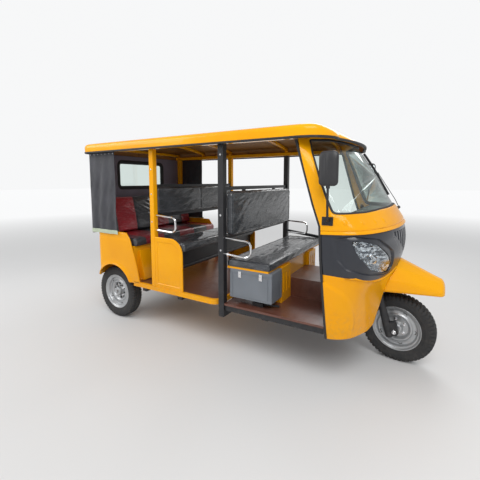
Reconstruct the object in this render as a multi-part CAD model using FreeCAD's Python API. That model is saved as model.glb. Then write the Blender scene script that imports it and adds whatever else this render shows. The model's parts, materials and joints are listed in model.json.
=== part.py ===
import FreeCAD, Part
import math
import os

# Passenger auto rickshaw with one front wheel and three benches. Millimetres.
# +X points forward, +Y to the vehicle's left, +Z up. The origin lies on the ground,
# in the centre plane, at the middle of the length.

V = FreeCAD.Vector

# Driving dimensions
front_axle_x = 1300
rear_axle_x = -1300
tyre_radius = 268
tyre_width = 115
rim_flange_radius = 170
rest_steer = -7
rake = 14.5
fork_offset = 45
fork_half_span = 108

body_half_width = 680
rear_track = 2 * (body_half_width - 120)
panel = 20
shell_wall = 9
floor_top = 450
sill_height = 42
roof_lip_z = 1700
roof_crown_z = 1862
roof_shoulder_z = roof_crown_z - 66
roof_half_width = body_half_width + 61
roof_nose_x = 991
roof_wall = 12

post = 50
b_post_x = 40
c_post_x = -710
d_post_x = -1540
tub_rear_x = d_post_x + 20
wall_rear_x = d_post_x - 20
roof_rear_x = d_post_x - 60
tub_top_z = 912

bench_half_width = body_half_width - 40
driver_seat_top = 798
middle_seat_top = 872
rear_seat_top = 858

running_fit = 0.05
body_gap = 0.3

axle_z = tyre_radius


def box(x0, x1, y0, y1, z0, z1):
    """A block between two corners."""
    return Part.makeBox(x1 - x0, y1 - y0, z1 - z0, V(x0, y0, z0))


def rod(start, end, radius):
    """A round bar from one point to another."""
    a, b = V(*start), V(*end)
    return Part.makeCylinder(radius, (b - a).Length, a, b - a)


def mirrored(shape):
    """The same shape on the vehicle's other side."""
    return shape.mirror(V(0, 0, 0), V(0, 1, 0))


def both(shape):
    """The shape and its mirror image, as one compound."""
    return Part.makeCompound([shape, mirrored(shape)])


def join(shapes):
    """One fused shape without inner seams."""
    shapes = list(shapes)
    if len(shapes) == 1:
        return shapes[0]
    return shapes[0].fuse(shapes[1:]).removeSplitter()


def rounded_wire(corners, place):
    """A closed outline. Each corner is (u, v, radius) and place turns (u, v) into a point."""
    edges = []
    count = len(corners)
    points = [V(c[0], c[1], 0) for c in corners]
    starts, ends, mids = [], [], []
    for i in range(count):
        here = points[i]
        back = (points[i - 1] - here).normalize()
        ahead = (points[(i + 1) % count] - here).normalize()
        radius = corners[i][2]
        if radius == 0:
            starts.append(here)
            ends.append(here)
            mids.append(None)
            continue
        half = back.getAngle(ahead) / 2
        reach = radius / math.tan(half)
        middle = (back + ahead).normalize()
        centre = here + middle * (radius / math.sin(half))
        starts.append(here + back * reach)
        ends.append(here + ahead * reach)
        mids.append(centre - middle * radius)
    for i in range(count):
        if mids[i] is not None:
            arc = [place(p.x, p.y) for p in (starts[i], mids[i], ends[i])]
            edges.append(Part.Arc(*arc).toShape())
        after = starts[(i + 1) % count]
        if (after - ends[i]).Length > 1e-6:
            edges.append(Part.makeLine(place(ends[i].x, ends[i].y), place(after.x, after.y)))
    return Part.Wire(edges)


def side_prism(corners, y0, y1):
    """A side-view outline of (x, z, radius) corners, carried from y0 to y1."""
    wire = rounded_wire(corners, lambda u, v: V(u, y0, v))
    return Part.Face(wire).extrude(V(0, y1 - y0, 0))


def plan_prism(corners, z0, z1):
    """A plan outline of (x, y, radius) corners, carried from z0 to z1."""
    wire = rounded_wire(corners, lambda u, v: V(u, v, z0))
    return Part.Face(wire).extrude(V(0, 0, z1 - z0))


def front_prism(corners, x0, x1):
    """A front-view outline of (y, z, radius) corners, carried from x0 to x1."""
    wire = rounded_wire(corners, lambda u, v: V(x0, u, v))
    return Part.Face(wire).extrude(V(x1 - x0, 0, 0))


def bent_bar(points, radius, bend, flats=10):
    """A bar of many flats through the points, with a tangent arc of the bend radius at each turn."""
    edges = []
    here = V(*points[0])
    for i in range(1, len(points) - 1):
        corner = V(*points[i])
        back = (V(*points[i - 1]) - corner).normalize()
        ahead = (V(*points[i + 1]) - corner).normalize()
        half = back.getAngle(ahead) / 2
        reach = bend / math.tan(half)
        middle = (back + ahead).normalize()
        centre = corner + middle * (bend / math.sin(half))
        start = corner + back * reach
        end = corner + ahead * reach
        edges.append(Part.makeLine(here, start))
        edges.append(Part.Arc(start, centre - middle * bend, end).toShape())
        here = end
    edges.append(Part.makeLine(here, V(*points[-1])))
    path = Part.Wire(edges)
    start = V(*points[0])
    direction = (V(*points[1]) - start).normalize()
    across = direction.cross(V(0.3, 0.2, 1)).normalize()
    upward = direction.cross(across)
    ring = []
    for i in range(flats + 1):
        turn = 2 * math.pi * (i % flats) / flats
        ring.append(start + across * (radius * math.cos(turn)) + upward * (radius * math.sin(turn)))
    return path.makePipeShell([Part.makePolygon(ring)], True, False)


def export(name, shape):
    """Write one named piece, as solids only."""
    solids = shape.Solids
    shape = solids[0] if len(solids) == 1 else Part.makeCompound(solids)
    shape.exportStep("parts/" + name + ".step")


os.makedirs("parts", exist_ok=True)

# Roof: plan outline, side profile and crown arc cut one another, twice for the wall.


roof_front_corner_x = 690
roof_shoulder = (840, 45)
roof_bow_end = (915, 241)
roof_rear_corner = 90
roof_slope = [(330, 6), (630, -26), (844, -86)]
roof_front_low = (1010, -14)


def roof_block(inset, base):
    """The roof's outer form, moved inwards by the inset, from the base up."""
    half = roof_half_width - inset
    rear = roof_rear_x + inset
    nose = roof_nose_x - inset
    corner = roof_rear_corner - inset
    slant = corner * (1 - math.sqrt(0.5))
    shoulder_x = roof_shoulder[0] - 0.7 * inset
    shoulder_y = roof_half_width - roof_shoulder[1] - 0.7 * inset
    end_x = roof_bow_end[0] - 0.9 * inset
    end_y = roof_half_width - roof_bow_end[1] - 0.5 * inset

    def arc(*points):
        return Part.Arc(*[V(x, y, base) for x, y in points]).toShape()

    def line(x0, y0, x1, y1):
        return Part.makeLine(V(x0, y0, base), V(x1, y1, base))

    plan = [
        line(rear + corner, half, roof_front_corner_x, half),
        arc((roof_front_corner_x, half), (shoulder_x, shoulder_y), (end_x, end_y)),
        arc((end_x, end_y), (nose, 0), (end_x, -end_y)),
        arc((end_x, -end_y), (shoulder_x, -shoulder_y), (roof_front_corner_x, -half)),
        line(roof_front_corner_x, -half, rear + corner, -half),
        arc((rear + corner, -half), (rear + slant, -half + slant), (rear, -half + corner)),
        line(rear, -half + corner, rear, half - corner),
        arc((rear, half - corner), (rear + slant, half - slant), (rear + corner, half)),
    ]
    plan = Part.Face(Part.Wire(plan)).extrude(V(0, 0, roof_crown_z - roof_lip_z + 240))
    under = base - 10
    wide = roof_half_width + 160
    shoulder_z = roof_shoulder_z - inset
    crown_z = roof_crown_z - inset
    crown = [
        Part.makeLine(V(rear - 300, -wide, under), V(rear - 300, -wide, shoulder_z)),
        Part.Arc(V(rear - 300, -wide, shoulder_z), V(rear - 300, 0, crown_z),
                 V(rear - 300, wide, shoulder_z)).toShape(),
        Part.makeLine(V(rear - 300, wide, shoulder_z), V(rear - 300, wide, under)),
        Part.makeLine(V(rear - 300, wide, under), V(rear - 300, -wide, under)),
    ]
    crown = Part.Face(Part.Wire(crown)).extrude(V(4000, 0, 0))
    steps = [V(x, -wide, crown_z + z) for x, z in roof_slope]
    front_x, front_z = roof_front_low
    corners = [V(front_x, -wide, roof_lip_z + front_z - inset), V(front_x, -wide, under),
               V(roof_rear_x - 100, -wide, under), V(roof_rear_x - 100, -wide, crown_z - 72),
               V(roof_rear_x + 200, -wide, crown_z + 6), steps[0]]
    profile = [Part.Arc(*steps).toShape()]
    for start, end in zip([steps[2]] + corners[:-1], corners):
        profile.append(Part.makeLine(start, end))
    profile = Part.Face(Part.Wire(profile)).extrude(V(0, 2 * wide, 0))
    return plan.common(crown).common(profile)


roof_outer = roof_block(0, roof_lip_z)
roof_inner = roof_block(roof_wall, roof_lip_z - 5)
roof_shell = roof_outer.cut(roof_inner)
export("roof_shell", roof_shell)

# Nose. Plan sections of the D-shaped shell, from the bottom of the fairing to the roof.
# Columns: height, foremost point on the centre line, radius of the bowed front, radius
# of the corners that join it to the straight sides.
nose_sections = [
    (290, 1200, 1250, 220),
    (600, 1228, 1250, 220),
    (800, 1297, 1250, 220),
    (910, 1318, 1250, 220),
    (1030, 1321, 1200, 220),
    (1110, 1306, 1100, 220),
    (1200, 1250, 980, 220),
    (roof_lip_z + 60, 893, 1000, 60),
]
lamp_sections = nose_sections[1:6]
nose_back_x = 440


def nose_section(row, inset, back_x):
    """One closed plan section, moved inwards by the inset, of tangent lines and arcs."""
    z, tip_x, bow, corner = row
    half = body_half_width - inset
    tip_x = tip_x - inset
    bow = bow - inset
    corner = corner - inset
    bow_x = tip_x - bow
    corner_y = half - corner
    corner_x = bow_x + math.sqrt((bow - corner) ** 2 - corner_y ** 2)
    turn = math.asin(corner_y / (bow - corner))
    join_x = bow_x + bow * math.cos(turn)
    join_y = bow * math.sin(turn)
    half_way = (turn + math.pi / 2) / 2
    mid_x = corner_x + corner * math.cos(half_way)
    mid_y = corner_y + corner * math.sin(half_way)
    edges = [
        Part.makeLine(V(back_x, half, z), V(corner_x, half, z)),
        Part.Arc(V(corner_x, half, z), V(mid_x, mid_y, z), V(join_x, join_y, z)).toShape(),
        Part.Arc(V(join_x, join_y, z), V(tip_x, 0, z), V(join_x, -join_y, z)).toShape(),
        Part.Arc(V(join_x, -join_y, z), V(mid_x, -mid_y, z), V(corner_x, -half, z)).toShape(),
        Part.makeLine(V(corner_x, -half, z), V(back_x, -half, z)),
        Part.makeLine(V(back_x, -half, z), V(back_x, half, z)),
    ]
    return Part.Wire(edges)


def nose_solid(inset, sections=nose_sections):
    """The nose volume, moved inwards by the inset and longer by it at its open ends."""
    rows = [list(row) for row in sections]
    rows[0][0] -= 2 * inset
    rows[-1][0] += 2 * inset
    back_x = nose_back_x - 2 * inset
    return Part.makeLoft([nose_section(row, inset, back_x) for row in rows], True, True)


nose_outer = nose_solid(0)
nose_inner = nose_solid(shell_wall)
nose_shell = nose_outer.cut(nose_inner)
far = body_half_width + 400
ahead_x = 1450

# Lines in side view, as (x, z): the door edge, the seams between the nose's panels.
fairing_bottom = 360
door_low = [(918, fairing_bottom), (912, 440)]
door_high = [(859, 1118), (809, 1264), (689, 1677)]
mask_bottom = [(880, 796), (1048, 790), (1107, 777), (1160, 757), (1205, 746), (1240, 752), (1300, 810), (ahead_x, 810)]
seam = [(861.6, 1066), (1000, 1075), (1198, 1081), (1257, 1088), (1300, 1100), (ahead_x, 1100)]
screen_top = [(664, roof_lip_z + 63), (ahead_x, roof_lip_z + 63)]


def band(lower, upper):
    """A side-view band ahead of the door edge, between two lines of (x, z) points."""
    corners = [(x, z, 0) for x, z in lower] + [(x, z, 0) for x, z in reversed(upper)]
    return side_prism(corners, -far, far)


fairing_band = band([door_low[0], (ahead_x, fairing_bottom)], [door_low[1]] + mask_bottom)
mask_band = band(mask_bottom, [(870, 894)] + seam)
screen_band = band(seam, door_high + screen_top)
under_roof = roof_inner.fuse(box(-200, ahead_x, -far, far, 0, roof_lip_z - 4))

# Wheel opening in front view, and the space behind the mudguard that the fork needs.
# Columns: half width, height, corner radius.
opening_half = [(452, 280, 0), (440, 400, 60), (330, 560, 120), (175, 620, 0), (165, 800, 0)]
opening_corners = opening_half + [(-y, z, radius) for y, z, radius in reversed(opening_half)]
wheel_opening = front_prism(opening_corners, 900, ahead_x)
front_fairing = nose_shell.common(fairing_band).cut(wheel_opening)
export("front_fairing", front_fairing)

# Headlamps sit in the corners of the mask.
lamp_outline = [(1046, 1032, 0), (1110, 1034, 60), (1212, 972, 60), (1249, 870, 60), (1252, 796, 16),
                (1222, 792, 20), (1163, 845, 30), (1092, 945, 0)]
lamp_depth = 70
lens_wall = 4
lamp_inner_y = 230
lamp_hole = side_prism(lamp_outline, lamp_inner_y, far)
lamp_hole = both(lamp_hole)
slot_pitch = 54
slot_half = 10
slot_low = 900
slot_high = 1074
slots = []
for step in range(-2, 3):
    y = step * slot_pitch
    slots.append(box(nose_back_x + 700, ahead_x, y - slot_half, y + slot_half, slot_low, slot_high))
front_mask = nose_shell.common(mask_band).cut(lamp_hole).cut(Part.makeCompound(slots))
export("front_mask", front_mask)

nose_behind_lens = nose_solid(lens_wall)
nose_behind_lamp = nose_solid(lamp_depth, lamp_sections)
lamp_solid = nose_outer.cut(nose_behind_lamp).common(lamp_hole)
lenses = lamp_solid.cut(nose_behind_lens)
lamp_bodies = lamp_solid.common(nose_behind_lens)
export("headlamp_bodies", lamp_bodies)
export("headlamp_lenses", lenses)

# Screen surround with its window, the rubber ring and the glass.
window_top = 1668
window_low_z = 1192
window_rise = 41
window_rear_top = 748
window_rear_low = 925
window_bend_x = 1120
window_front_x = 1240
window_corners = [(window_rear_top, window_top, 45), (window_rear_low, window_low_z, 50),
                  (window_bend_x, window_low_z + 6, 0), (window_front_x, window_low_z + window_rise, 0),
                  (ahead_x, window_low_z + window_rise, 0), (ahead_x, window_top, 0)]
gasket_width = 24
glass_wall = 5
window_prism = side_prism(window_corners, -far, far)
glass_low_z = window_low_z + gasket_width
glass_corners = [(window_rear_top + 1.4 * gasket_width, window_top - gasket_width, 24),
                 (window_rear_low + 0.7 * gasket_width, glass_low_z, 30),
                 (window_bend_x, glass_low_z + 6, 0), (window_front_x, glass_low_z + window_rise, 0),
                 (ahead_x, glass_low_z + window_rise, 0), (ahead_x, window_top - gasket_width, 0)]
glass_prism = side_prism(glass_corners, -far, far)
screen_surround = nose_shell.common(screen_band).cut(window_prism).common(under_roof)
export("screen_surround", screen_surround)
gasket = nose_solid(-3).cut(nose_solid(shell_wall + 2)).common(window_prism).cut(glass_prism)
gasket = gasket.common(screen_band)
glass = nose_solid(2).cut(nose_solid(2 + glass_wall)).common(glass_prism).common(screen_band)

# Black trim along both door edges.
trim_width = 16
trim_line = door_low + [(870, 894)] + door_high + [(684, roof_lip_z - 6)]
trim_corners = [(x, z, 0) for x, z in trim_line] + [(x - trim_width, z, 0) for x, z in reversed(trim_line)]
door_trim = side_prism(trim_corners, body_half_width - 24, body_half_width + 4)
export("door_trim", both(door_trim))

# Steel frame: posts, roof rails and roof bows, in the body's colours.
post_out = body_half_width
post_in = body_half_width - post
rail_top = roof_lip_z + 38
rail_low = roof_lip_z + 2


def upright(x, z0, z1):
    """One square post on each side."""
    return both(box(x, x + post, post_in, post_out, z0, z1))


c_posts = upright(c_post_x, floor_top, rail_low)
d_posts = upright(d_post_x, tub_top_z, rail_low)
roof_rail_front = 650
rear_bow_x = d_post_x - 20
bow_width = 34
bow_depth = 30
bow_stations = [rear_bow_x, (rear_bow_x + c_post_x) / 2, c_post_x, b_post_x, roof_rail_front - bow_width]
above_roof = roof_crown_z + 40
under_bows = roof_block(roof_wall + bow_depth, roof_lip_z - 10)
frame_bars = [box(rear_bow_x, roof_rail_front, post_in, post_out, rail_low, rail_top),
              box(rear_bow_x, roof_rail_front, -post_out, -post_in, rail_low, rail_top)]
for x in bow_stations:
    arch = box(x, x + bow_width, -post_out, post_out, rail_top, above_roof).common(roof_inner).cut(under_bows)
    legs = both(box(x, x + bow_width, post_in + 20, post_out, rail_top, above_roof)).common(roof_inner)
    frame_bars += [arch] + legs.Solids
roof_frame = join(frame_bars + c_posts.Solids + d_posts.Solids)
export("roof_frame", roof_frame)

# Centre frame: the black posts with the bars that carry the driver's backrest.
back_bar_x = b_post_x + 10
back_bar_front = b_post_x + 35
back_bar_low = 950
back_bar_high = 1345
centre_frame = join([
    box(b_post_x, b_post_x + post, post_in, post_out, 375, rail_low),
    box(b_post_x, b_post_x + post, -post_out, -post_in, 375, rail_low),
    box(back_bar_x, back_bar_front, -post_in, post_in, back_bar_high, back_bar_high + 30),
    box(back_bar_x, back_bar_front, -post_in, post_in, back_bar_low, back_bar_low + 25),
    box(back_bar_x, back_bar_front, 300, 325, back_bar_low, back_bar_high),
    box(back_bar_x, back_bar_front, -325, -300, back_bar_low, back_bar_high),
])
export("centre_frame", centre_frame)

# Guard rail that closes the driver's left side. Columns: x, height of its lower face.
guard_rail_ends = [(b_post_x + post, 834), (900, 741)]
guard_rail_deep = 30
guard_rail_line = [(x, z, 0) for x, z in guard_rail_ends]
guard_rail_line += [(x, z + guard_rail_deep, 0) for x, z in reversed(guard_rail_ends)]
guard_rail = side_prism(guard_rail_line, body_half_width - 14, body_half_width + 8)
trim_line_rear = [(x - trim_width, z, 0) for x, z in trim_line] + [(ahead_x, trim_line[-1][1], 0), (ahead_x, 360, 0)]
export("guard_rail", guard_rail.cut(side_prism(trim_line_rear, -far, far)))

# Chassis: two long rails, cross members, outriggers and the neck to the steering head.
rail_half_gap = 270
rail_width = 40
chassis_low = 330
chassis_front = 1000
chassis_rear = -1500
deck_under = floor_top - sill_height
bar_width = 50
side_rail_low = 378
side_rail_high = 424
side_rail_out = body_half_width - 15
side_rail_in = side_rail_out - rail_width
chassis_bars = [
    box(chassis_front - 40, chassis_front, -rail_half_gap, rail_half_gap, chassis_low, deck_under),
    box(chassis_front - 40, chassis_front, -30, 30, chassis_low, 900),
    box(chassis_front - 40, 1085, -24, 24, 850, 900),
]
for x in (-1480, -860, -420, b_post_x, 420, 900):
    chassis_bars.append(box(x, x + bar_width, -rail_half_gap, rail_half_gap, chassis_low + 20, deck_under))
# Bars that each side has. Columns: x from, x to, y from, y to, z from, z to.
side_bars = [
    (chassis_rear, chassis_front, rail_half_gap, rail_half_gap + rail_width, chassis_low, deck_under),
    (-860, -860 + bar_width, rail_half_gap, side_rail_out - 10, 368, deck_under),
    (-420, -420 + bar_width, rail_half_gap, side_rail_out - 10, 368, deck_under),
    (420, 420 + bar_width, rail_half_gap, side_rail_out - 10, 368, deck_under),
    (b_post_x, b_post_x + bar_width, rail_half_gap, post_out, 325, 375),
    (90, 890, side_rail_in, side_rail_out, side_rail_low, side_rail_high),
    (850, 890, rail_half_gap, side_rail_in, side_rail_low, side_rail_high),
]
for bar in side_bars:
    chassis_bars += both(box(*bar)).Solids

# Square pads under the long rails, where a jack lifts the vehicle.
pad_x = -450
pad_half = 30
pad_depth = 8
pad_y = rail_half_gap + rail_width / 2
jack_pad = box(pad_x - pad_half, pad_x + pad_half, pad_y - pad_half, pad_y + pad_half,
               chassis_low - pad_depth, chassis_low)
chassis_bars += both(jack_pad).Solids

# Steering axis: through the head, parallel to the fork legs, behind the wheel's axle.
rake_rad = math.radians(rake)
axis_up = V(-math.sin(rake_rad), 0, math.cos(rake_rad))
axis_foot = V(front_axle_x - fork_offset * math.cos(rake_rad), 0, axle_z - fork_offset * math.sin(rake_rad))


def on_axis(along, forward=0, side=0):
    """A point given along the steering axis, square forward of it and to the side."""
    ahead = V(math.cos(rake_rad), 0, math.sin(rake_rad))
    return axis_foot + axis_up * along + ahead * forward + V(0, side, 0)


def axial(along0, along1, radius, forward=0, side=0):
    """A round bar parallel to the steering axis."""
    start = on_axis(along0, forward, side)
    return Part.makeCylinder(radius, along1 - along0, start, axis_up)


def steered(shape):
    """The shape turned to the angle at which the front wheel stands."""
    return shape.rotated(axis_foot, axis_up, rest_steer)


head_low = 570
head_high = 740
head_radius = 28
stem_radius = 16
head_tube = axial(head_low, head_high, head_radius).cut(axial(head_low, head_high, stem_radius + running_fit))
neck_cut = axial(head_low - 60, head_high + 60, head_radius)
chassis = join(chassis_bars).cut(neck_cut)
chassis = join([chassis, head_tube])
export("chassis_frame", chassis)

# Steering body: stem and clamps, telescopic legs, handlebar.
clamp_gap = 3
leg_upper_radius = 17
leg_lower_radius = 25
lower_thick = 30
clamp_low = (head_low - clamp_gap - lower_thick, head_low - clamp_gap)
clamp_high = (head_high + clamp_gap, head_high + clamp_gap + 26)


def clamp(span):
    """A bridge across the stem and both legs."""
    half = fork_half_span + 30
    bridge = Part.makeBox(60, 2 * half, span[1] - span[0], V(-30, -half, 0))
    bridge.rotate(V(0, 0, 0), V(0, 1, 0), -rake)
    bridge.translate(on_axis(span[0]))
    return bridge


leg_foot = -35
leg_joint = 350
stem = axial(clamp_low[0], clamp_high[1] + 10, stem_radius)
upper_legs = [axial(leg_joint, clamp_high[1] + 12, leg_upper_radius, 0, s * fork_half_span) for s in (-1, 1)]
yoke = join([stem, clamp(clamp_low), clamp(clamp_high)] + upper_legs)
lower_legs = []
lug_half = leg_lower_radius - 8
front_axle_radius = 9
axle_reach = fork_half_span + 34
front_axle = rod((front_axle_x, -axle_reach, axle_z), (front_axle_x, axle_reach, axle_z), front_axle_radius)
for s in (-1, 1):
    leg = axial(leg_foot, leg_joint, leg_lower_radius, 0, s * fork_half_span)
    lug_y = s * fork_half_span
    lug = rod((front_axle_x, lug_y - lug_half, axle_z), (front_axle_x, lug_y + lug_half, axle_z), 24)
    web = Part.makeBox(fork_offset, 26, 40, V(0, -13, -20))
    web.rotate(V(0, 0, 0), V(0, 1, 0), -rake)
    web.translate(on_axis(0, 0, lug_y))
    lower_legs.append(join([leg, lug, web]).cut(front_axle))
export("fork_yoke", steered(yoke))
export("fork_legs", steered(Part.makeCompound(lower_legs + [front_axle])))

bar_height = clamp_high[1] + 32
bar_start = on_axis(bar_height)
bar_radius = 12
bar_half = [(-150, 345, 25), (-60, 170, 30), (0, 60, 0)]
bar_path = bar_half + [(x, -y, z) for x, y, z in reversed(bar_half)]
bar_points = [(bar_start.x + x, y, bar_start.z + z) for x, y, z in bar_path]
handlebar = bent_bar(bar_points, bar_radius, 50)
bar_clamp = axial(clamp_high[1] + 10, bar_height + 14, 22)
handlebar = join([handlebar, bar_clamp])
export("handlebar", steered(handlebar))

# Wheels, from circles of (place across, radius) about the wheel's axle.


def lathed(rows, centre):
    """A closed round body through circles about a line along Y."""
    wires = []
    for across, radius in rows:
        wires.append(Part.Wire([Part.makeCircle(radius, centre + V(0, across, 0), V(0, 1, 0))]))
    return Part.makeLoft(wires, True, True)


def drum(radius, start, end, centre):
    """A plain cylinder about the axle, between two places across."""
    return Part.makeCylinder(radius, end - start, centre + V(0, start, 0), V(0, 1, 0))


def tyre(centre):
    """Tread crown, slanted shoulders and upright walls over the rim's flanges."""
    half = tyre_width / 2
    bead = rim_flange_radius + running_fit
    rows = [(half, tyre_radius - 20), (half - 20, tyre_radius)]
    rows += [(-across, radius) for across, radius in reversed(rows)]
    return lathed(rows, centre).cut(drum(bead, -half - 5, half + 5, centre))


rim_half = 44
dish_radius = 150
dish_floor = 16
cup_radius = 82
cup_floor = 2
hub_radius = 40


def rim(centre, face, bore, hub_out):
    """A rim over its brake drum, with a disc sunk in two steps on the face side (1 or -1)."""
    body = drum(rim_flange_radius, -rim_half, rim_half, centre)
    for radius, floor in ((dish_radius, dish_floor), (cup_radius, cup_floor)):
        low, high = sorted((floor * face, (rim_half + 5) * face))
        body = body.cut(drum(radius, low, high, centre))
    low, high = sorted((0, hub_out * face))
    body = join([body, drum(hub_radius, low, high, centre)])
    return body.cut(drum(bore, -200, 200, centre))


front_centre = V(front_axle_x, 0, axle_z)
front_hub_out = 55
export("front_tyre", steered(tyre(front_centre)))
export("front_rim", steered(rim(front_centre, -1, front_axle_radius + running_fit, front_hub_out)))

half_track = rear_track / 2
axle_end_radius = 17
rear_hub_out = 46
for name, side in (("left", 1), ("right", -1)):
    centre = V(rear_axle_x, side * half_track, axle_z)
    export("rear_tyre_" + name, tyre(centre))
    export("rear_rim_" + name, rim(centre, side, axle_end_radius + running_fit, rear_hub_out))

# Rear axle with its gear case, leaf springs, engine and drive shaft.
axle_tube_radius = 34
axle_shoulder = half_track - rim_half - 1
case_radius = 100
case_half = 75
neck_front = rear_axle_x + 170
rear_centre = V(rear_axle_x, 0, axle_z)
rear_axle = join([
    drum(axle_tube_radius, -axle_shoulder, axle_shoulder, rear_centre),
    drum(axle_end_radius, -half_track - 50, half_track + 50, rear_centre),
    drum(case_radius, -case_half, case_half, rear_centre),
    rod((rear_axle_x, 0, axle_z), (neck_front, 0, axle_z), 45),
])

leaf_y = pad_y - 30
leaf_width = 60
leaves = []
for count, half_length in enumerate((270, 210, 150)):
    z = axle_z + axle_tube_radius + 8 * count
    leaves.append(box(rear_axle_x - half_length, rear_axle_x + half_length, leaf_y, leaf_y + leaf_width, z, z + 8))
for end in (-1, 1):
    x = rear_axle_x + end * 255
    leaves.append(box(x - 15, x + 15, leaf_y + 8, leaf_y + leaf_width - 8, axle_z + axle_tube_radius, chassis_low))
spring = join(leaves)
export("leaf_springs", both(spring))

engine_rear = 130
engine_front = 325
engine_half = 200
engine_low = 300
engine_top = 700
engine = box(engine_rear, engine_front, -engine_half, engine_half, engine_low, engine_top)
export("engine", engine)
shaft_radius = 20
shaft_end = (engine_rear, 0, engine_low + shaft_radius)
drive_shaft = rod((neck_front, 0, axle_z), shaft_end, shaft_radius).cut(engine)
export("rear_axle", join([rear_axle, drive_shaft]))

# Rear deck: a yellow rim with a brown board let into it.
well_x = -955
well_y = rear_track / 2 - 90
board_depth = 14
board_rim = 26


def deck_outline(inset, radius):
    """The deck's plan, moved inwards by the inset."""
    rear = tub_rear_x + panel + inset
    front = b_post_x - inset
    half = body_half_width - inset
    near = well_y - inset
    side = [(rear, near, 0), (well_x + inset, near, 0), (well_x + inset, half, 0), (front, half, radius)]
    return side + [(x, -y, corner) for x, y, corner in reversed(side)]


deck = plan_prism(deck_outline(0, 90), deck_under, floor_top)
pocket = plan_prism(deck_outline(board_rim, 64), floor_top - board_depth, floor_top)
export("rear_deck", deck.cut(pocket))

# Driver's floor with its raised centre box.
driver_floor_z = side_rail_high
driver_floor_top = driver_floor_z + 16
driver_floor = box(92, 895, 3 - body_half_width, body_half_width - 3, driver_floor_z, driver_floor_top)
engine_room = box(engine_rear - 8, engine_front + 8, -engine_half - 8, engine_half + 8, 400, 450)
step_half = 235
step_top = 600
step_box = box(400, 940, -step_half, step_half, driver_floor_top, step_top)
export("floor_boards", Part.makeCompound([pocket, driver_floor.cut(engine_room)]))
export("floor_step", step_box)

# Middle side panels with a rounded upper front corner.
panel_top = 905
side_panel = side_prism([(c_post_x + post, floor_top, 0), (-350, floor_top, 0), (-350, panel_top, 130),
                         (c_post_x + post, panel_top, 0)], body_half_width - 24, body_half_width - 4)
export("side_panels", both(side_panel))

# Rear tub: side and rear walls on a rounded plan, a slanted front edge and wheel arches.
tub_corner = 100
tub_low = 440
arch_x = -1240
arch_z = 326
arch_radius = 260
lip_width = 16
lip_out = body_half_width + 12
tub_gap = 170
tub_span = c_post_x - tub_gap - tub_rear_x
# The slanted front edge. Columns: share of the span ahead of the rear, height, corner radius.
tub_edge = [(1, tub_low, 0), (0.923, 645, 0), (0.848, 786, 60), (0.742, tub_top_z, 60)]


def tub_ring(inset, z0, z1):
    """The tub's plan, moved inwards by the inset."""
    half = body_half_width - inset
    rear = tub_rear_x + inset
    radius = tub_corner - inset
    front = tub_rear_x + tub_span + 20
    return plan_prism([(front, -half, 0), (front, half, 0), (rear, half, radius), (rear, -half, radius)], z0, z1)


behind = tub_rear_x - 180
tub = tub_ring(0, tub_low, tub_top_z).cut(tub_ring(panel, tub_low - 10, tub_top_z + 10))
edge = [(tub_rear_x + share * tub_span, z, radius) for share, z, radius in tub_edge]
tub_side_view = side_prism([(behind, tub_low, 0)] + edge + [(behind, tub_top_z, 0)], -far, far)
arch_cut = both(rod((arch_x, body_half_width - 80, arch_z), (arch_x, far, arch_z), arch_radius))
tyre_gap = 25
tyre_room = both(drum(tyre_radius + tyre_gap, half_track - tyre_width / 2 - tyre_gap,
                      half_track + tyre_width / 2 + tyre_gap, rear_centre))
tub = tub.cut(deck).common(tub_side_view).cut(arch_cut).cut(tyre_room)
lip = drum(arch_radius + lip_width, body_half_width, lip_out, V(arch_x, 0, arch_z))
lip = lip.cut(drum(arch_radius, body_half_width - 10, lip_out + 10, V(arch_x, 0, arch_z)))
lip = lip.common(box(tub_rear_x + 52, arch_x + 340, body_half_width, lip_out, tub_low, 700))
tub = join([tub, lip, mirrored(lip)])
export("rear_tub", tub)

# Rear bench box with inner wheel boxes.
bench_front = tub_rear_x + tub_span - 60
seat_box_front = bench_front - 25
seat_box_top = 790
inner_half = body_half_width - panel
wheel_box_top = 2 * tyre_radius + 54
well_rear = tub_rear_x + 40
bench_rear = tub_rear_x + 80
bench_box = join([
    box(seat_box_front - 15, seat_box_front, -inner_half, inner_half, floor_top, seat_box_top),
    box(bench_rear, seat_box_front, -inner_half, inner_half, seat_box_top - 15, seat_box_top),
    box(well_rear, seat_box_front, well_y, well_y + 12, floor_top, wheel_box_top),
    box(well_rear, seat_box_front, -well_y - 12, -well_y, floor_top, wheel_box_top),
    box(well_rear, seat_box_front, well_y, inner_half, wheel_box_top - 12, wheel_box_top),
    box(well_rear, seat_box_front, -inner_half, -well_y, wheel_box_top - 12, wheel_box_top),
])
bench_box = bench_box.common(tub_ring(panel, floor_top - 10, seat_box_top + 10))
export("rear_seat_box", bench_box)

cushion_gap = 8
rear_cushion = box(bench_rear, bench_front, cushion_gap - inner_half, inner_half - cushion_gap, seat_box_top,
                   rear_seat_top)
export("rear_cushion", rear_cushion)
back_low = rear_seat_top + body_gap
back_high = 1240
back_corners = [(tub_rear_x + 190, back_low, 0), (tub_rear_x + 100, back_high, 20),
                (tub_rear_x + 44.3, back_high, 0), (tub_rear_x + 120, back_low, 0)]
rear_backrest = side_prism(back_corners, -bench_half_width, bench_half_width)
export("rear_backrest", rear_backrest)
rail_x = tub_rear_x + 20
rail_front = tub_rear_x + 44
back_frame = [box(rail_x, rail_front, -post_in, post_in, 1180, 1220),
              box(d_post_x + post, rail_front, post_in - 30, post_in, 1180, 1220),
              box(d_post_x + post, rail_front, -post_in, 30 - post_in, 1180, 1220)]
back_frame = join(back_frame)

# Rear wall with its window, rubber ring and pane.
wall_low = tub_top_z - 30
wall_corners = [(-post_out, wall_low, 0), (post_out, wall_low, 0), (post_out, rail_low, 0), (-post_out, rail_low, 0)]
window_half = 353
window_low = 1328
window_high = 1650
pane_edge = 26
behind_wall = wall_rear_x - 140


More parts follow.
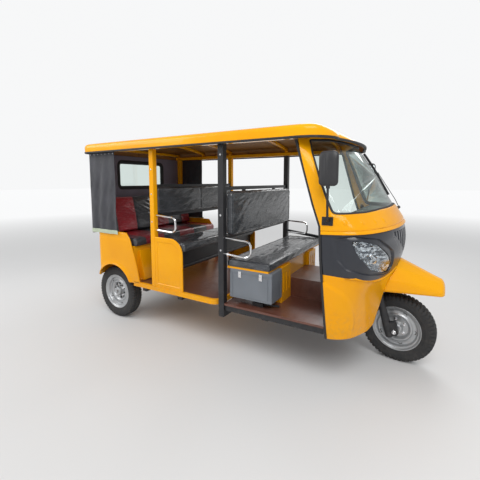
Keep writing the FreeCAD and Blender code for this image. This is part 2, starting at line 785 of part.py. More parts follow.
def window_cut(inset, radius):
    """The rear window's outline, moved inwards by the inset."""
    half = window_half - inset
    low = window_low + inset
    high = window_high - inset
    corners = [(-half, low, radius), (half, low, radius), (half, high, radius), (-half, high, radius)]
    return front_prism(corners, behind_wall, wall_rear_x + 160)


hole = window_cut(0, 60)
pane_hole = window_cut(pane_edge, 40)
rear_wall = front_prism(wall_corners, wall_rear_x, wall_rear_x + panel).cut(hole)
export("rear_wall", rear_wall)
ring = hole.cut(pane_hole).common(box(wall_rear_x - 6, wall_rear_x + panel + 6, -far, far, 0, 2000))
pane = pane_hole.common(box(wall_rear_x + 7, wall_rear_x + 12, -far, far, 0, 2000))
export("window_rubber", Part.makeCompound([gasket, ring]))
export("window_glass", Part.makeCompound([glass, pane]))

# Middle bench on its tube frame.
middle_front = -340
middle_half = body_half_width - 30
middle_rear = c_post_x + post
middle_low = 802
middle_cushion = box(middle_rear + 10, middle_front, -middle_half, middle_half, middle_low, middle_seat_top)
export("middle_cushion", middle_cushion)
tube_x = middle_front - 67
middle_frame = join([
    box(middle_rear, middle_front - 20, -middle_half, middle_half, middle_low - 20, middle_low),
    box(tube_x - 8, tube_x + 7, -middle_half, middle_half, 665, middle_low - 20),
    rod((tube_x, -middle_half - 6, 650), (tube_x, middle_half + 6, 650), 16),
])
middle_back_low = 1112
middle_back_high = 1362
middle_backrest = box(c_post_x + 8, middle_rear, 6 - post_in, post_in - 6, middle_back_low, middle_back_high)
export("middle_backrest", middle_backrest)
middle_bars = both(box(c_post_x + 12, c_post_x + 38, 0, post_in, middle_back_high, middle_back_high + 26)).Solids
middle_bars += both(box(c_post_x + 12, c_post_x + 38, 0, post_in, middle_back_low - 26, middle_back_low)).Solids
seat_frames = [middle_frame, back_frame] + [join(middle_bars[:2]), join(middle_bars[2:])]
export("seat_frames", Part.makeCompound(seat_frames))

# Driver's bench.
driver_front = 475
driver_rear = b_post_x + 65
driver_half = body_half_width - 30
driver_low = 745
seat_board = 727
driver_cushion = box(driver_rear, driver_front, -driver_half, driver_half, driver_low, driver_seat_top)
export("driver_cushion", driver_cushion)
seat_rim = box(driver_rear, driver_front - 12, 6 - driver_half, driver_half - 6, seat_board, driver_low)
driver_backrest = box(back_bar_front, back_bar_front + 50, 30 - bench_half_width, bench_half_width - 30, 978, 1334)
export("driver_backrest", driver_backrest)
leg_front = 486
leg_half = 437
base = join([
    box(330, 455, -step_half - 5, step_half + 5, driver_floor_top, seat_board),
    box(330, leg_front, -leg_half, -step_half - 5, driver_floor_top, seat_board),
    box(330, leg_front, step_half + 5, leg_half, driver_floor_top, seat_board),
])
base = base.cut(box(320, 440, 15 - leg_half, leg_half - 15, 430, 715)).cut(step_box)
leg_slots = []
for y in (280, 340, 400):
    leg_slots += both(box(430, 500, y - 9, y + 9, 520, 680)).Solids
base = base.cut(Part.makeCompound(leg_slots))
export("driver_seat_base", join([base, seat_rim]))
tool_box = box(130, 492, 6 - driver_half, -leg_half - 18, 497, seat_board)
export("tool_box", tool_box)

# Bent handrails at the middle and the driver's bench, on both sides.
# Columns: x of the post's front face, height of the upper end, height of the lower end.
grip_rows = [(c_post_x + post, 1110, 975), (b_post_x + post, 970, 840)]
grip_reach = 230
grip_radius = 9
grip_drop = 12
grip_y = body_half_width - 25
grips = []
for x, z_top, z_low in grip_rows:
    start = x + body_gap
    grips.append(bent_bar([(start, grip_y, z_top), (x + grip_reach, grip_y, z_top - grip_drop),
                           (x + grip_reach, grip_y, z_low - grip_drop), (start, grip_y, z_low)], grip_radius, 48, 8))
front_face = box(b_post_x, b_post_x + post, post_in, post_out, 0, 1700)
rear_face = box(c_post_x, c_post_x + post, post_in, post_out, 0, 1700)
grips = [grip.cut(front_face).cut(rear_face) for grip in grips]
export("hand_rails", both(Part.makeCompound(grips)))

# Curtains at the rear corners, with their hem strips.
curtain_front = d_post_x + 380
curtain = box(d_post_x - 2, curtain_front, post_out + 4, post_out + 8, 925, roof_lip_z)
hem = box(d_post_x - 2, curtain_front + 15, post_out + body_gap, post_out + 10, 895, 925)
export("curtains", both(join([curtain, hem])))

# Mudguard: a wedge of three facets a side, fixed to the nose above the front wheel.
# Columns: half width and height of each corner from the ridge down.
guard_root = [(52, 868), (150, 815), (226, 702), (226, 606)]
# How long each facet's edge is at the tip, as a share of its edge at the nose.
guard_shares = [0.35, 0.42, 0.2]
guard_tip = [(26, 678)]
for share, start, end in zip(guard_shares, guard_root, guard_root[1:]):
    half, z = guard_tip[-1]
    guard_tip.append((half + share * (end[0] - start[0]), z + share * (end[1] - start[1])))
guard_root_x = 1180
guard_tip_x = 1596
guard_wall = 8
guard_under = 500


def guard_section(x, rows, inset):
    """The corners of one section across the mudguard, open below where it is moved inwards."""
    right = [V(x, inset - half, z - inset) for half, z in rows[:-1]]
    half = rows[-1][0] - inset
    low = guard_under if inset else rows[-1][1]
    right.append(V(x, -half, low))
    return right + [V(p.x, -p.y, p.z) for p in reversed(right)]


def faceted(root, tip):
    """A solid of flat facets between two sections whose edges are parallel."""
    faces = [Part.Face(Part.makePolygon(root + root[:1])), Part.Face(Part.makePolygon(tip + tip[:1]))]
    for i in range(len(root)):
        j = (i + 1) % len(root)
        faces.append(Part.Face(Part.makePolygon([root[i], root[j], tip[j], tip[i], root[i]])))
    return Part.Solid(Part.Shell(faces))


guard_outer = faceted(guard_section(guard_root_x, guard_root, 0), guard_section(guard_tip_x, guard_tip, 0))
guard_inner = faceted(guard_section(guard_root_x - 10, guard_root, guard_wall),
                      guard_section(guard_tip_x - guard_wall, guard_tip, guard_wall))
export("front_mudguard", guard_outer.cut(guard_inner).cut(nose_outer))

# Fire wall and dashboard inside the nose.
fire_wall_x = 941
fire_wall = box(fire_wall_x, fire_wall_x + 15, -far, far, driver_floor_z, 940).common(nose_inner)
floor_room = box(fire_wall_x - 40, fire_wall_x + 60, -body_half_width, body_half_width, 400, driver_floor_top)
export("fire_wall", fire_wall.cut(floor_room))
dash_top = box(960, ahead_x, -far, far, 1165, 1180).common(nose_inner)
export("dashboard", join([dash_top, box(1090, 1180, -140, 140, 1110, 1165)]))

# Mirrors on arms from the foot of each door edge.
mirror_y = body_half_width + 100
mirror_half = 22
mirror_body = side_prism([(866, 1385, 30), (978, 1385, 40), (985, 1600, 40), (872, 1600, 30)],
                         mirror_y - mirror_half, mirror_y + mirror_half)
arm_path = [(905, body_half_width - 12, 1150), (915, body_half_width + 55, 1170),
            (925, mirror_y, 1290), (925, mirror_y, 1385)]
mirror_arm = bent_bar(arm_path, 8, 30, 8)
mirror_foot = box(868, 940, body_half_width, body_half_width + 12, 1130, 1186)
mirror = join([mirror_arm.cut(nose_outer), mirror_foot])
export("mirror_arms", both(mirror))
export("mirror_housings", both(mirror_body))

# Tail lamps on the tub's rear wall.
tail = box(tub_rear_x - 26, tub_rear_x, 440, 560, 780, 850)
export("tail_lamps", both(tail))

# Foot lever beside the seat.
lever_block = box(310, 400, -600, -520, driver_floor_top, driver_floor_top + 30)
foot_lever = join([rod((300, -580, 452), (520, -560, 462), 8), lever_block])
export("foot_lever", foot_lever)
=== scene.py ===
import json
import math
import bmesh
import bpy
import numpy as np
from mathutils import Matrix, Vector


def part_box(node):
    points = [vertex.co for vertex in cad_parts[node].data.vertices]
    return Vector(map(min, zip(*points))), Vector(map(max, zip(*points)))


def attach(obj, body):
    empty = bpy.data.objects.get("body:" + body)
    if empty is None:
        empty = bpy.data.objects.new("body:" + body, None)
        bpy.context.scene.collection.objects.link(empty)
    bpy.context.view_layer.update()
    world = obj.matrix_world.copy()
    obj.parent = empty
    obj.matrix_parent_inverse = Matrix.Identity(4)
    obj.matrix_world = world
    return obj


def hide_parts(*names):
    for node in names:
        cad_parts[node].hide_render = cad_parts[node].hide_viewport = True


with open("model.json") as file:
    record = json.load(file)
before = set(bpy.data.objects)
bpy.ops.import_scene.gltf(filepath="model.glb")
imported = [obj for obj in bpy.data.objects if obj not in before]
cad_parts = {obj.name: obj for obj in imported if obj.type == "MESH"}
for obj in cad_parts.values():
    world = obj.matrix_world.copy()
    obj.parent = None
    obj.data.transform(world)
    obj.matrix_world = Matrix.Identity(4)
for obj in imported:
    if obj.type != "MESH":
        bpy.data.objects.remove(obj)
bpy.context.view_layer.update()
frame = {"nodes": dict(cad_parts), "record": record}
print("frame loaded")

# Camera.
view = {
    "place": (1.450, -2.720, 1.412),
    "azimuth": 30.633,
    "elevation": 5.752,
    "lens": 23.68,
    "shiftY": -0.0552,
}
cameraData = bpy.data.cameras.new("camera")
cameraData.lens = view["lens"]
cameraData.sensor_width = 36
cameraData.shift_y = view["shiftY"]
cameraData.clip_start = 0.05
cameraObject = bpy.data.objects.new("camera", cameraData)
cameraObject.location = view["place"]
cameraObject.rotation_euler = (math.radians(90 - view["elevation"]), 0, math.radians(view["azimuth"]))
bpy.context.scene.collection.objects.link(cameraObject)
bpy.context.scene.camera = cameraObject
bpy.context.scene.view_settings.view_transform = "Standard"


# A socket in a material. Sums, differences and products of these add Math nodes.
class Flow:
    def __init__(self, finish, socket):
        self.finish = finish
        self.socket = socket

    def calc(self, operation, *others):
        values = {i: v for i, v in enumerate((self,) + others)}
        return self.finish.add("ShaderNodeMath", {"operation": operation}, values)

    def __add__(self, other):
        return self.calc("ADD", other)

    def __mul__(self, other):
        return self.calc("MULTIPLY", other)

    def __rsub__(self, other):
        return self.finish.add("ShaderNodeMath", {"operation": "SUBTRACT"}, {0: other, 1: self})

    __radd__ = __add__
    __rmul__ = __mul__

    def span(self, low, high):
        values = {"Value": self, "From Min": low, "From Max": high}
        return self.finish.add("ShaderNodeMapRange", {"clamp": True}, values)


# A material being made. add takes a node's type, its settings and its socket values or links.
class Finish:
    def __init__(self, name):
        self.material = bpy.data.materials.new(name)
        self.material.use_nodes = True
        self.tree = self.material.node_tree
        self.tree.nodes.clear()
        self.place = self.add("ShaderNodeTexCoord", out="Object")

    def add(self, kind, settings=None, sockets=None, out=0):
        node = self.tree.nodes.new(kind)
        for key, value in (settings or {}).items():
            setattr(node, key, value)
        for key, value in (sockets or {}).items():
            if isinstance(value, Flow):
                self.tree.links.new(value.socket, node.inputs[key])
            else:
                node.inputs[key].default_value = value
        if not node.outputs:
            return node
        return Flow(self, node.outputs[out])

    def noise(self, scale, detail=3, roughness=0.5, place=None):
        sockets = {"Vector": place or self.place, "Scale": scale, "Detail": detail, "Roughness": roughness}
        return self.add("ShaderNodeTexNoise", {}, sockets)

    def cells(self, feature, scale, place=None, out=0):
        sockets = {"Vector": place or self.place, "Scale": scale}
        return self.add("ShaderNodeTexVoronoi", {"feature": feature}, sockets, out)

    def bands(self, direction, scale, distortion):
        settings = {"wave_type": "BANDS", "bands_direction": direction}
        return self.add("ShaderNodeTexWave", settings, {"Vector": self.place, "Scale": scale, "Distortion": distortion})

    def stretched(self, scale, turn=(0, 0, 0)):
        return self.add("ShaderNodeMapping", {}, {"Vector": self.place, "Scale": scale, "Rotation": turn})

    def axes(self, source=None):
        node = self.tree.nodes.new("ShaderNodeSeparateXYZ")
        self.tree.links.new((source or self.place).socket, node.inputs[0])
        return [Flow(self, output) for output in node.outputs]

    def blend(self, share, first, second):
        node = self.tree.nodes.new("ShaderNodeMix")
        node.data_type = "RGBA"
        for index, value in ((0, share), (6, first), (7, second)):
            if isinstance(value, Flow):
                self.tree.links.new(value.socket, node.inputs[index])
            else:
                node.inputs[index].default_value = tuple(value) + (1,) if index else value
        return Flow(self, node.outputs[2])

    def bump(self, height, strength, distance, before=None):
        sockets = {"Height": height, "Strength": strength, "Distance": distance}
        if before is not None:
            sockets["Normal"] = before
        return self.add("ShaderNodeBump", {}, sockets)

    # How slanting the view is, from 0 face on to 1 along the surface, raised to a power.
    def slant(self, power):
        return self.add("ShaderNodeLayerWeight", {}, {"Blend": 0.5}, out=1).calc("POWER", power)

    def surface(self, **values):
        names = {"base": "Base Color", "rough": "Roughness", "metal": "Metallic", "coat": "Coat Weight",
                 "coatRough": "Coat Roughness", "normal": "Normal", "glow": "Emission Color",
                 "glowPower": "Emission Strength", "specular": "Specular IOR Level", "sheen": "Sheen Weight"}
        sockets = {}
        for key, value in values.items():
            if key in ("base", "glow") and not isinstance(value, Flow):
                value = tuple(value) + (1,)
            sockets[names[key]] = value
        return self.finished(self.add("ShaderNodeBsdfPrincipled", {}, sockets))

    # A clear body under a mirror-like surface, mixed by share.
    def clearMix(self, share, tint, shine, rough, normal):
        clear = self.add("ShaderNodeBsdfTransparent", {}, {"Color": tint + (1,)})
        mirrored = self.add("ShaderNodeBsdfPrincipled", {}, {
            "Base Color": shine + (1,), "Metallic": 1.0, "Roughness": rough, "Normal": normal})
        return self.finished(self.add("ShaderNodeMixShader", {}, {0: share, 1: clear, 2: mirrored}))

    def finished(self, shader):
        self.add("ShaderNodeOutputMaterial", {}, {"Surface": shader})
        return self.material


# Colours of the finishes, as linear light.
colours = {
    "paint": (0.90, 0.405, 0.003),
    "paintDeep": (0.82, 0.335, 0.002),
    "mask": (0.012, 0.014, 0.021),
    "blackSteel": (0.014, 0.014, 0.016),
    "dust": (0.16, 0.14, 0.12),
    "rubber": (0.013, 0.013, 0.014),
    "tyre": (0.022, 0.022, 0.023),
    "board": (0.150, 0.055, 0.036),
    "boardDark": (0.085, 0.030, 0.020),
    "boardWorn": (0.20, 0.12, 0.09),
    "cover": (0.019, 0.022, 0.028),
    "coverLight": (0.046, 0.052, 0.060),
    # painted glare of the clear film
    "filmGlare": (0.55, 0.57, 0.60),
    "red": (0.33, 0.010, 0.020),
    "redDeep": (0.24, 0.006, 0.014),
    "silver": (0.42, 0.43, 0.44),
    "chrome": (0.78, 0.78, 0.79),
    "mirror": (0.85, 0.87, 0.88),
    # painted reflections in the lamp reflector's facets
    "paintedReflectionDark": (0.10, 0.11, 0.13),
    "paintedReflectionLight": (0.97, 0.98, 1.0),
    "cast": (0.16, 0.16, 0.16),
    "toolBox": (0.14, 0.155, 0.175),
    "plastic": (0.020, 0.020, 0.022),
    "lampRed": (0.42, 0.012, 0.010),
    "tarpaulin": (0.016, 0.017, 0.024),
    "tarpaulinLight": (0.035, 0.036, 0.046),
    "hem": (0.50, 0.56, 0.42),
    "hemDeep": (0.42, 0.48, 0.36),
    "lining": (0.15, 0.13, 0.17),
    # the roof's underside: the yellow darkened as painted shade
    "roofShadedLight": (0.34, 0.155, 0.022),
    "roofShadedDeep": (0.24, 0.105, 0.020),
    "roofSeam": (0.07, 0.03, 0.010),
}


# Gloss paint: slow drift of tone, faint orange peel under a clear coat, dust below a height.
def glossPaint(name, light, deep, dustTop):
    finish = Finish(name)
    height = finish.axes()[2]
    dusty = (1 - height.span(0.30, dustTop)) * finish.noise(38, 5, 0.65).span(0.42, 0.78) * 0.35
    drift = finish.noise(1.7, 3).span(0.35, 0.65)
    colour = finish.blend(dusty, finish.blend(drift, light, deep), colours["dust"])
    rough = 0.20 + dusty * 0.6 + finish.noise(90, 4, 0.7).span(0.62, 0.9) * 0.12
    normal = finish.bump(finish.noise(320, 2), 0.04, 0.0006)
    return finish.surface(base=colour, rough=rough, coat=0.22, coatRough=0.06, specular=0.14, normal=normal)


# Satin or matt coatings on steel and plastic, with a fine grain and dust in the low parts.
def plainCoat(name, colour, rough, grain, depth, dustTop=0.9, metal=0.0, coat=0.0):
    finish = Finish(name)
    height = finish.axes()[2]
    dusty = (1 - height.span(0.2, dustTop)) * finish.noise(24, 5, 0.7).span(0.45, 0.85) * 0.30
    mottle = finish.noise(6, 4).span(0.3, 0.7)
    lighter = tuple(min(1, 1.35 * value + 0.004) for value in colour)
    base = finish.blend(dusty, finish.blend(mottle * 0.6, colour, lighter), colours["dust"])
    normal = finish.bump(finish.noise(grain, 3, 0.6), 0.25, depth)
    return finish.surface(base=base, rough=rough + dusty * 0.5 + mottle * 0.06, metal=metal, coat=coat, normal=normal)


# Leathercloth under a loose clear film: fine grain, long wrinkles in the film's coat, painted glare of
# the film on the fold crests. stripes gives the place of the red bands across and half their pitch.
def filmedCover(name, stripes=None):
    finish = Finish(name)
    across = finish.axes()[1]
    base = finish.blend(finish.noise(5, 4).span(0.35, 0.7), colours["cover"], colours["coverLight"])
    if stripes:
        start, pitch = stripes
        red = (across + start).calc("PINGPONG", pitch).span(0.122, 0.128)
        tone = finish.noise(8, 3).span(0.3, 0.7)
        base = finish.blend(red, base, finish.blend(tone, colours["red"], colours["redDeep"]))
    wrinkle = finish.stretched((5.0, 3.2, 12.0), (0.25, 0.15, 0.35))
    folds = finish.noise(3.2, 5, 0.62, wrinkle)
    crease = finish.noise(11, 4, 0.7, wrinkle).span(0.45, 0.62)
    normal = finish.bump(finish.cells("DISTANCE_TO_EDGE", 420), 0.12, 0.0008)
    normal = finish.bump(folds + crease * 0.25, 0.55, 0.014, normal)
    # Painted glare: a pale colour on the fold crests stands in for light caught by the film.
    base = finish.blend(folds.span(0.50, 0.72) * 0.10, base, colours["filmGlare"])
    return finish.surface(base=base, rough=0.30 + crease * 0.18, coat=0.85, coatRough=0.07, normal=normal)


# Varnished board: grain along the length, worn patches and an embossed mesh.
def boardFinish():
    finish = Finish("brown_board")
    grain = finish.noise(14, 6, 0.65, finish.stretched((1.2, 9, 1)))
    worn = finish.noise(5, 5, 0.7).span(0.5, 0.75)
    base = finish.blend(grain.span(0.3, 0.7), colours["boardDark"], colours["board"])
    base = finish.blend(worn * 0.35, base, colours["boardWorn"])
    normal = finish.bump(finish.cells("F1", 160), 0.25, 0.0008)
    return finish.surface(base=base, rough=0.28 + worn * 0.3, coat=0.25, coatRough=0.2, normal=normal)


# Coated cloth with a crossed weave.
def tarpaulinFinish():
    finish = Finish("tarpaulin")
    weave = finish.bands("Z", 300, 0.6) * finish.bands("X", 300, 0.6)
    tone = finish.noise(7, 4, 0.6)
    base = finish.blend(tone.span(0.35, 0.7), colours["tarpaulin"], colours["tarpaulinLight"])
    return finish.surface(base=base, rough=0.52 + tone * 0.15, normal=finish.bump(weave, 0.3, 0.0006), sheen=0.15)


def hemFinish():
    finish = Finish("hem_cloth")
    base = finish.blend(finish.noise(9, 3).span(0.3, 0.7), colours["hem"], colours["hemDeep"])
    return finish.surface(base=base, rough=0.7, normal=finish.bump(finish.noise(260, 2), 0.3, 0.0008))


# Thin glass: mirror-like at a slant, clear face on, with a faint green body and dust.
def paneFinish():
    finish = Finish("clear_glass")
    smear = finish.noise(4, 5, 0.7, finish.stretched((1, 1, 0.4))).span(0.45, 0.8)
    normal = finish.bump(finish.noise(1.1, 2), 0.05, 0.01)
    share = finish.slant(4) * 0.9 + 0.05 + smear * 0.04
    return finish.clearMix(share, (0.86, 0.91, 0.89), (0.75, 0.78, 0.78), 0.03, normal)


# Lamp glass: like the pane, with upright ribs.
def lampLens():
    finish = Finish("lamp_clear")
    normal = finish.bump(finish.bands("Y", 22, 0.0), 0.12, 0.002)
    return finish.clearMix(finish.slant(4) * 0.7 + 0.04, (0.93, 0.95, 0.96), (0.9, 0.92, 0.94), 0.06, normal)


# Bare bright metal: fine streaks and dull spots.
def metalFinish(name, colour, rough):
    finish = Finish(name)
    streaks = finish.noise(60, 4, 0.6)
    spots = finish.noise(20, 5, 0.7).span(0.6, 0.85)
    base = finish.blend(spots * 0.4, colour, tuple(0.55 * value for value in colour))
    return finish.surface(base=base, metal=1.0, rough=rough + streaks * 0.08 + spots * 0.15,
                          normal=finish.bump(streaks, 0.05, 0.0005))


# Lamp reflector: cells of bright and dark metal colour, painted reflections of the bright and dark surroundings.
def reflectorFinish():
    finish = Finish("lamp_reflector")
    cells = finish.cells("F1", 46, finish.stretched((1, 1, 1.4)), 1)
    tone = finish.axes(cells)[0].span(0.15, 0.85)
    base = finish.blend(tone, colours["paintedReflectionDark"], colours["paintedReflectionLight"])
    return finish.surface(base=base, metal=1.0, rough=0.10 + tone * 0.06)


# Underside of the roof: the yellow darkened as painted shade, a tone that drifts, with seams along and across at even
# steps.
def roofShadeFinish():
    finish = Finish("roof_underside_shade")
    x, y = finish.axes()[:2]
    across = 1 - (x + 0.04).calc("PINGPONG", 0.2125).span(0.003, 0.009)
    along = 1 - y.calc("PINGPONG", 0.37).span(0.003, 0.008)
    tone = finish.noise(3.5, 4, 0.6).span(0.3, 0.7)
    # Painted shade: the roof's yellow darkened for the underside.
    base = finish.blend(tone, colours["roofShadedLight"], colours["roofShadedDeep"])
    base = finish.blend(across.calc("MAXIMUM", along) * 0.5, base, colours["roofSeam"])
    normal = finish.bump(finish.noise(45, 4, 0.7), 0.3, 0.002)
    return finish.surface(base=base, rough=0.55 + tone * 0.1, normal=normal)


# Plain coatings: colour, roughness, scale and depth of the grain, then top of the dust,
# metal and coat where they differ.
coats = {
    "mask_paint": ("mask", 0.30, 260, 0.0005, 0.9, 0.0, 0.35),
    "black_steel": ("blackSteel", 0.34, 140, 0.0008, 0.7),
    "black_rubber": ("rubber", 0.55, 200, 0.0006),
    "tyre_rubber": ("tyre", 0.72, 120, 0.0010, 0.6),
    "silver_rim": ("silver", 0.33, 180, 0.0006, 0.5, 0.75),
    "cast_block": ("cast", 0.55, 60, 0.0020, 0.6, 0.5),
    "grey_box": ("toolBox", 0.45, 150, 0.0010),
    "dark_plastic": ("plastic", 0.42, 240, 0.0008),
    "lamp_red": ("lampRed", 0.12, 60, 0.0010, 0.9, 0.0, 0.8),
    "grey_lining": ("lining", 0.42, 90, 0.0008),
}
finishes = {name: plainCoat(name, colours[colour], *values) for name, (colour, *values) in coats.items()}
finishes["body_paint"] = glossPaint("body_paint", colours["paint"], colours["paintDeep"], 0.62)
finishes["brown_board"] = boardFinish()
finishes["dark_cover"] = filmedCover("dark_cover")
finishes["red_cover"] = filmedCover("red_cover", (0.145, 0.25))
finishes["chrome_steel"] = metalFinish("chrome_steel", colours["chrome"], 0.06)
finishes["clear_glass"] = paneFinish()
finishes["lamp_clear"] = lampLens()
finishes["tarpaulin"] = tarpaulinFinish()
hemCloth = hemFinish()
reflector = reflectorFinish()
mirrorGlass = metalFinish("mirror_glass", colours["mirror"], 0.01)
print("finishes made")

# Every CAD node gets the finish of its slot.
nodeSlot = {row["node"]: row["material_slot"] for row in frame["record"]["subparts"]}
for node, piece in frame["nodes"].items():
    piece.data.materials.clear()
    piece.data.materials.append(finishes[nodeSlot[node]])

# Studio: a wide pale floor that turns into the sky's own tone far out, an even pale sky that
# lights less than it shows, and three soft lamps.
studio = {
    "floorSize": 60,
    "floorTone": (0.70, 0.70, 0.70),
    "floorDeep": (0.62, 0.62, 0.61),
    "fade": (4.0, 13.0),
    "skyTone": (0.93, 0.935, 0.94),
    "skyLight": 0.62,
    # place, aim, size, power
    "lamps": [
        ((2.5, -3.5, 4.6), (0.0, 0.0, 0.8), 3.2, 170),
        ((-3.8, -3.0, 3.4), (-0.5, 0.0, 0.8), 2.6, 80),
        ((0.5, 3.8, 4.2), (0.0, 0.0, 0.9), 3.0, 90),
    ],
}


def floorFinish():
    finish = Finish("floor")
    tone = finish.noise(1.5, 3).span(0.3, 0.7)
    base = finish.blend(tone * 0.08, studio["floorTone"], studio["floorDeep"])
    x, y = finish.axes()[:2]
    far = (x * x + y * y).calc("SQRT").span(*studio["fade"])
    return finish.surface(base=finish.blend(far, base, (0, 0, 0)), rough=0.55 + far * 0.45, specular=0.25,
                          glow=finish.blend(far, (0, 0, 0), studio["skyTone"]), glowPower=1.0)


def makeStudio():
    size = studio["floorSize"]
    mesh = bpy.data.meshes.new("floor")
    mesh.from_pydata([(-size, -size, 0), (size, -size, 0), (size, size, 0), (-size, size, 0)], [], [(0, 1, 2, 3)])
    floor = bpy.data.objects.new("floor", mesh)
    mesh.materials.append(floorFinish())
    bpy.context.scene.collection.objects.link(floor)
    world = bpy.data.worlds.new("studio")
    bpy.context.scene.world = world
    world.use_nodes = True
    tree = world.node_tree
    tree.nodes.clear()
    path = tree.nodes.new("ShaderNodeLightPath")
    seen = tree.nodes.new("ShaderNodeMath")
    seen.operation = "ADD"
    tree.links.new(path.outputs["Is Camera Ray"], seen.inputs[0])
    tree.links.new(path.outputs["Is Transmission Ray"], seen.inputs[1])
    mixed = tree.nodes.new("ShaderNodeMixShader")
    tree.links.new(seen.outputs[0], mixed.inputs[0])
    for index, strength in ((1, studio["skyLight"]), (2, 1.0)):
        shade = tree.nodes.new("ShaderNodeBackground")
        shade.inputs["Color"].default_value = studio["skyTone"] + (1,)
        shade.inputs["Strength"].default_value = strength
        tree.links.new(shade.outputs[0], mixed.inputs[index])
    output = tree.nodes.new("ShaderNodeOutputWorld")
    tree.links.new(mixed.outputs[0], output.inputs["Surface"])
    for number, (place, aim, width, power) in enumerate(studio["lamps"]):
        lamp = bpy.data.lights.new("lamp%d" % number, "AREA")
        lamp.size = width
        lamp.energy = power
        holder = bpy.data.objects.new("lamp%d" % number, lamp)
        holder.location = place
        away = [p - a for p, a in zip(place, aim)]
        flat = math.hypot(away[0], away[1])
        holder.rotation_euler = (math.atan2(flat, away[2]), 0, math.atan2(away[1], away[0]) + math.pi / 2)
        bpy.context.scene.collection.objects.link(holder)


makeStudio()
print("studio lit")


# Mesh makers. A part is an array of points and blocks of faces. A grid of points is rows by
# columns, and its faces look along (column step) x (row step).
def gridPart(points, closed=False, flip=False):
    rows, columns = points.shape[:2]
    numbers = np.arange(rows * columns).reshape(rows, columns)
    if closed:
        numbers = np.hstack([numbers, numbers[:, :1]])
    corners = [numbers[:-1, :-1], numbers[:-1, 1:], numbers[1:, 1:], numbers[1:, :-1]]
    quads = np.stack(corners, -1).reshape(-1, 4)
    return points.reshape(-1, 3), [quads[:, ::-1] if flip else quads]


# Closed rings with a flat face over the first and the last.
def filledPart(rings):
    points, blocks = gridPart(rings, closed=True)
    first = np.arange(rings.shape[1])[None]
    return points, blocks + [first[:, ::-1], first + len(points) - rings.shape[1]]


# Closed rings with a fan from the first to one middle point.
def fannedPart(rings, middle):
    points, blocks = gridPart(rings, closed=True)
    numbers = np.arange(rings.shape[1])
    fan = np.stack([np.full(len(numbers), len(points)), np.roll(numbers, -1), numbers], -1)
    return np.concatenate([points, middle[None]]), blocks + [fan[:, ::-1]]


def flipPart(part):
    return part[0], [block[:, ::-1] for block in part[1]]


def mirrorPart(part):
    return flipPart((part[0] * (1, -1, 1), part[1]))


def bothSides(parts):
    return list(parts) + [mirrorPart(part) for part in parts]


# A visible piece from parts: its material, body, slot and the CAD nodes that it replaces.
# Edges sharper than the angle stay sharp, and solid turns the faces of closed parts outwards.
def makePiece(name, parts, slot, body="body", takes=(), finish=None, sharp=38, solid=False,
              thick=0.0, bevel=0.0, steps=2):
    points, faces, count = [], [], 0
    for places, blocks in parts:
        points.append(places)
        for block in blocks:
            faces += (block + count).tolist()
        count += len(places)
    mesh = bpy.data.meshes.new(name)
    mesh.from_pydata(np.concatenate(points).tolist(), [], faces)
    shape = bmesh.new()
    shape.from_mesh(mesh)
    bmesh.ops.remove_doubles(shape, verts=shape.verts, dist=0.00002)
    if solid:
        bmesh.ops.recalc_face_normals(shape, faces=shape.faces)
    shape.to_mesh(mesh)
    shape.free()
    mesh.shade_smooth()
    mesh.set_sharp_from_angle(angle=math.radians(sharp))
    mesh.materials.append(finish or finishes[slot])
    piece = bpy.data.objects.new(name, mesh)
    bpy.context.scene.collection.objects.link(piece)
    if thick:
        wall = piece.modifiers.new("wall", "SOLIDIFY")
        wall.thickness = thick
        wall.offset = -1
    if bevel:
        edge = piece.modifiers.new("edge", "BEVEL")
        edge.width = bevel
        edge.segments = steps
        edge.limit_method = "ANGLE"
        edge.angle_limit = math.radians(35)
        edge.harden_normals = True
    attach(piece, body)
    if takes:
        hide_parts(*takes)
    return piece


# A smooth curve through a table: cubic pieces with the table's mean slopes.
def smoothLine(places, values):
    places = np.array(places, float)
    values = np.array(values, float)
    slopes = np.gradient(values, places)

    def read(x):
        i = np.clip(np.searchsorted(places, x) - 1, 0, len(places) - 2)
        gap = places[i + 1] - places[i]
        t = (x - places[i]) / gap
        return ((2 * t ** 3 - 3 * t ** 2 + 1) * values[i] + (t ** 3 - 2 * t ** 2 + t) * gap * slopes[i]
                + (3 * t ** 2 - 2 * t ** 3) * values[i + 1] + (t ** 3 - t ** 2) * gap * slopes[i + 1])

    return read


# Smooth step from 0 to 1 between two values.
def ease(x, low, high):
    t = np.clip((x - low) / (high - low), 0, 1)
    return t * t * (3 - 2 * t)


# The arc of a given radius that rounds the corner between two neighbours.
def bendArc(before, corner, after, radius, count):
    back = (before - corner) / np.linalg.norm(before - corner)
    ahead = (after - corner) / np.linalg.norm(after - corner)
    half = math.acos(max(-1, min(1, float(back @ ahead)))) / 2
    centre = corner + (back + ahead) / np.linalg.norm(back + ahead) * radius / math.sin(half)
    start = corner + back * radius / math.tan(half) - centre
    end = corner + ahead * radius / math.tan(half) - centre
    share = np.linspace(0, 1, count)[:, None]
    sweep = math.pi - 2 * half
    return centre + (start * np.sin((1 - share) * sweep) + end * np.sin(share * sweep)) / math.sin(sweep)


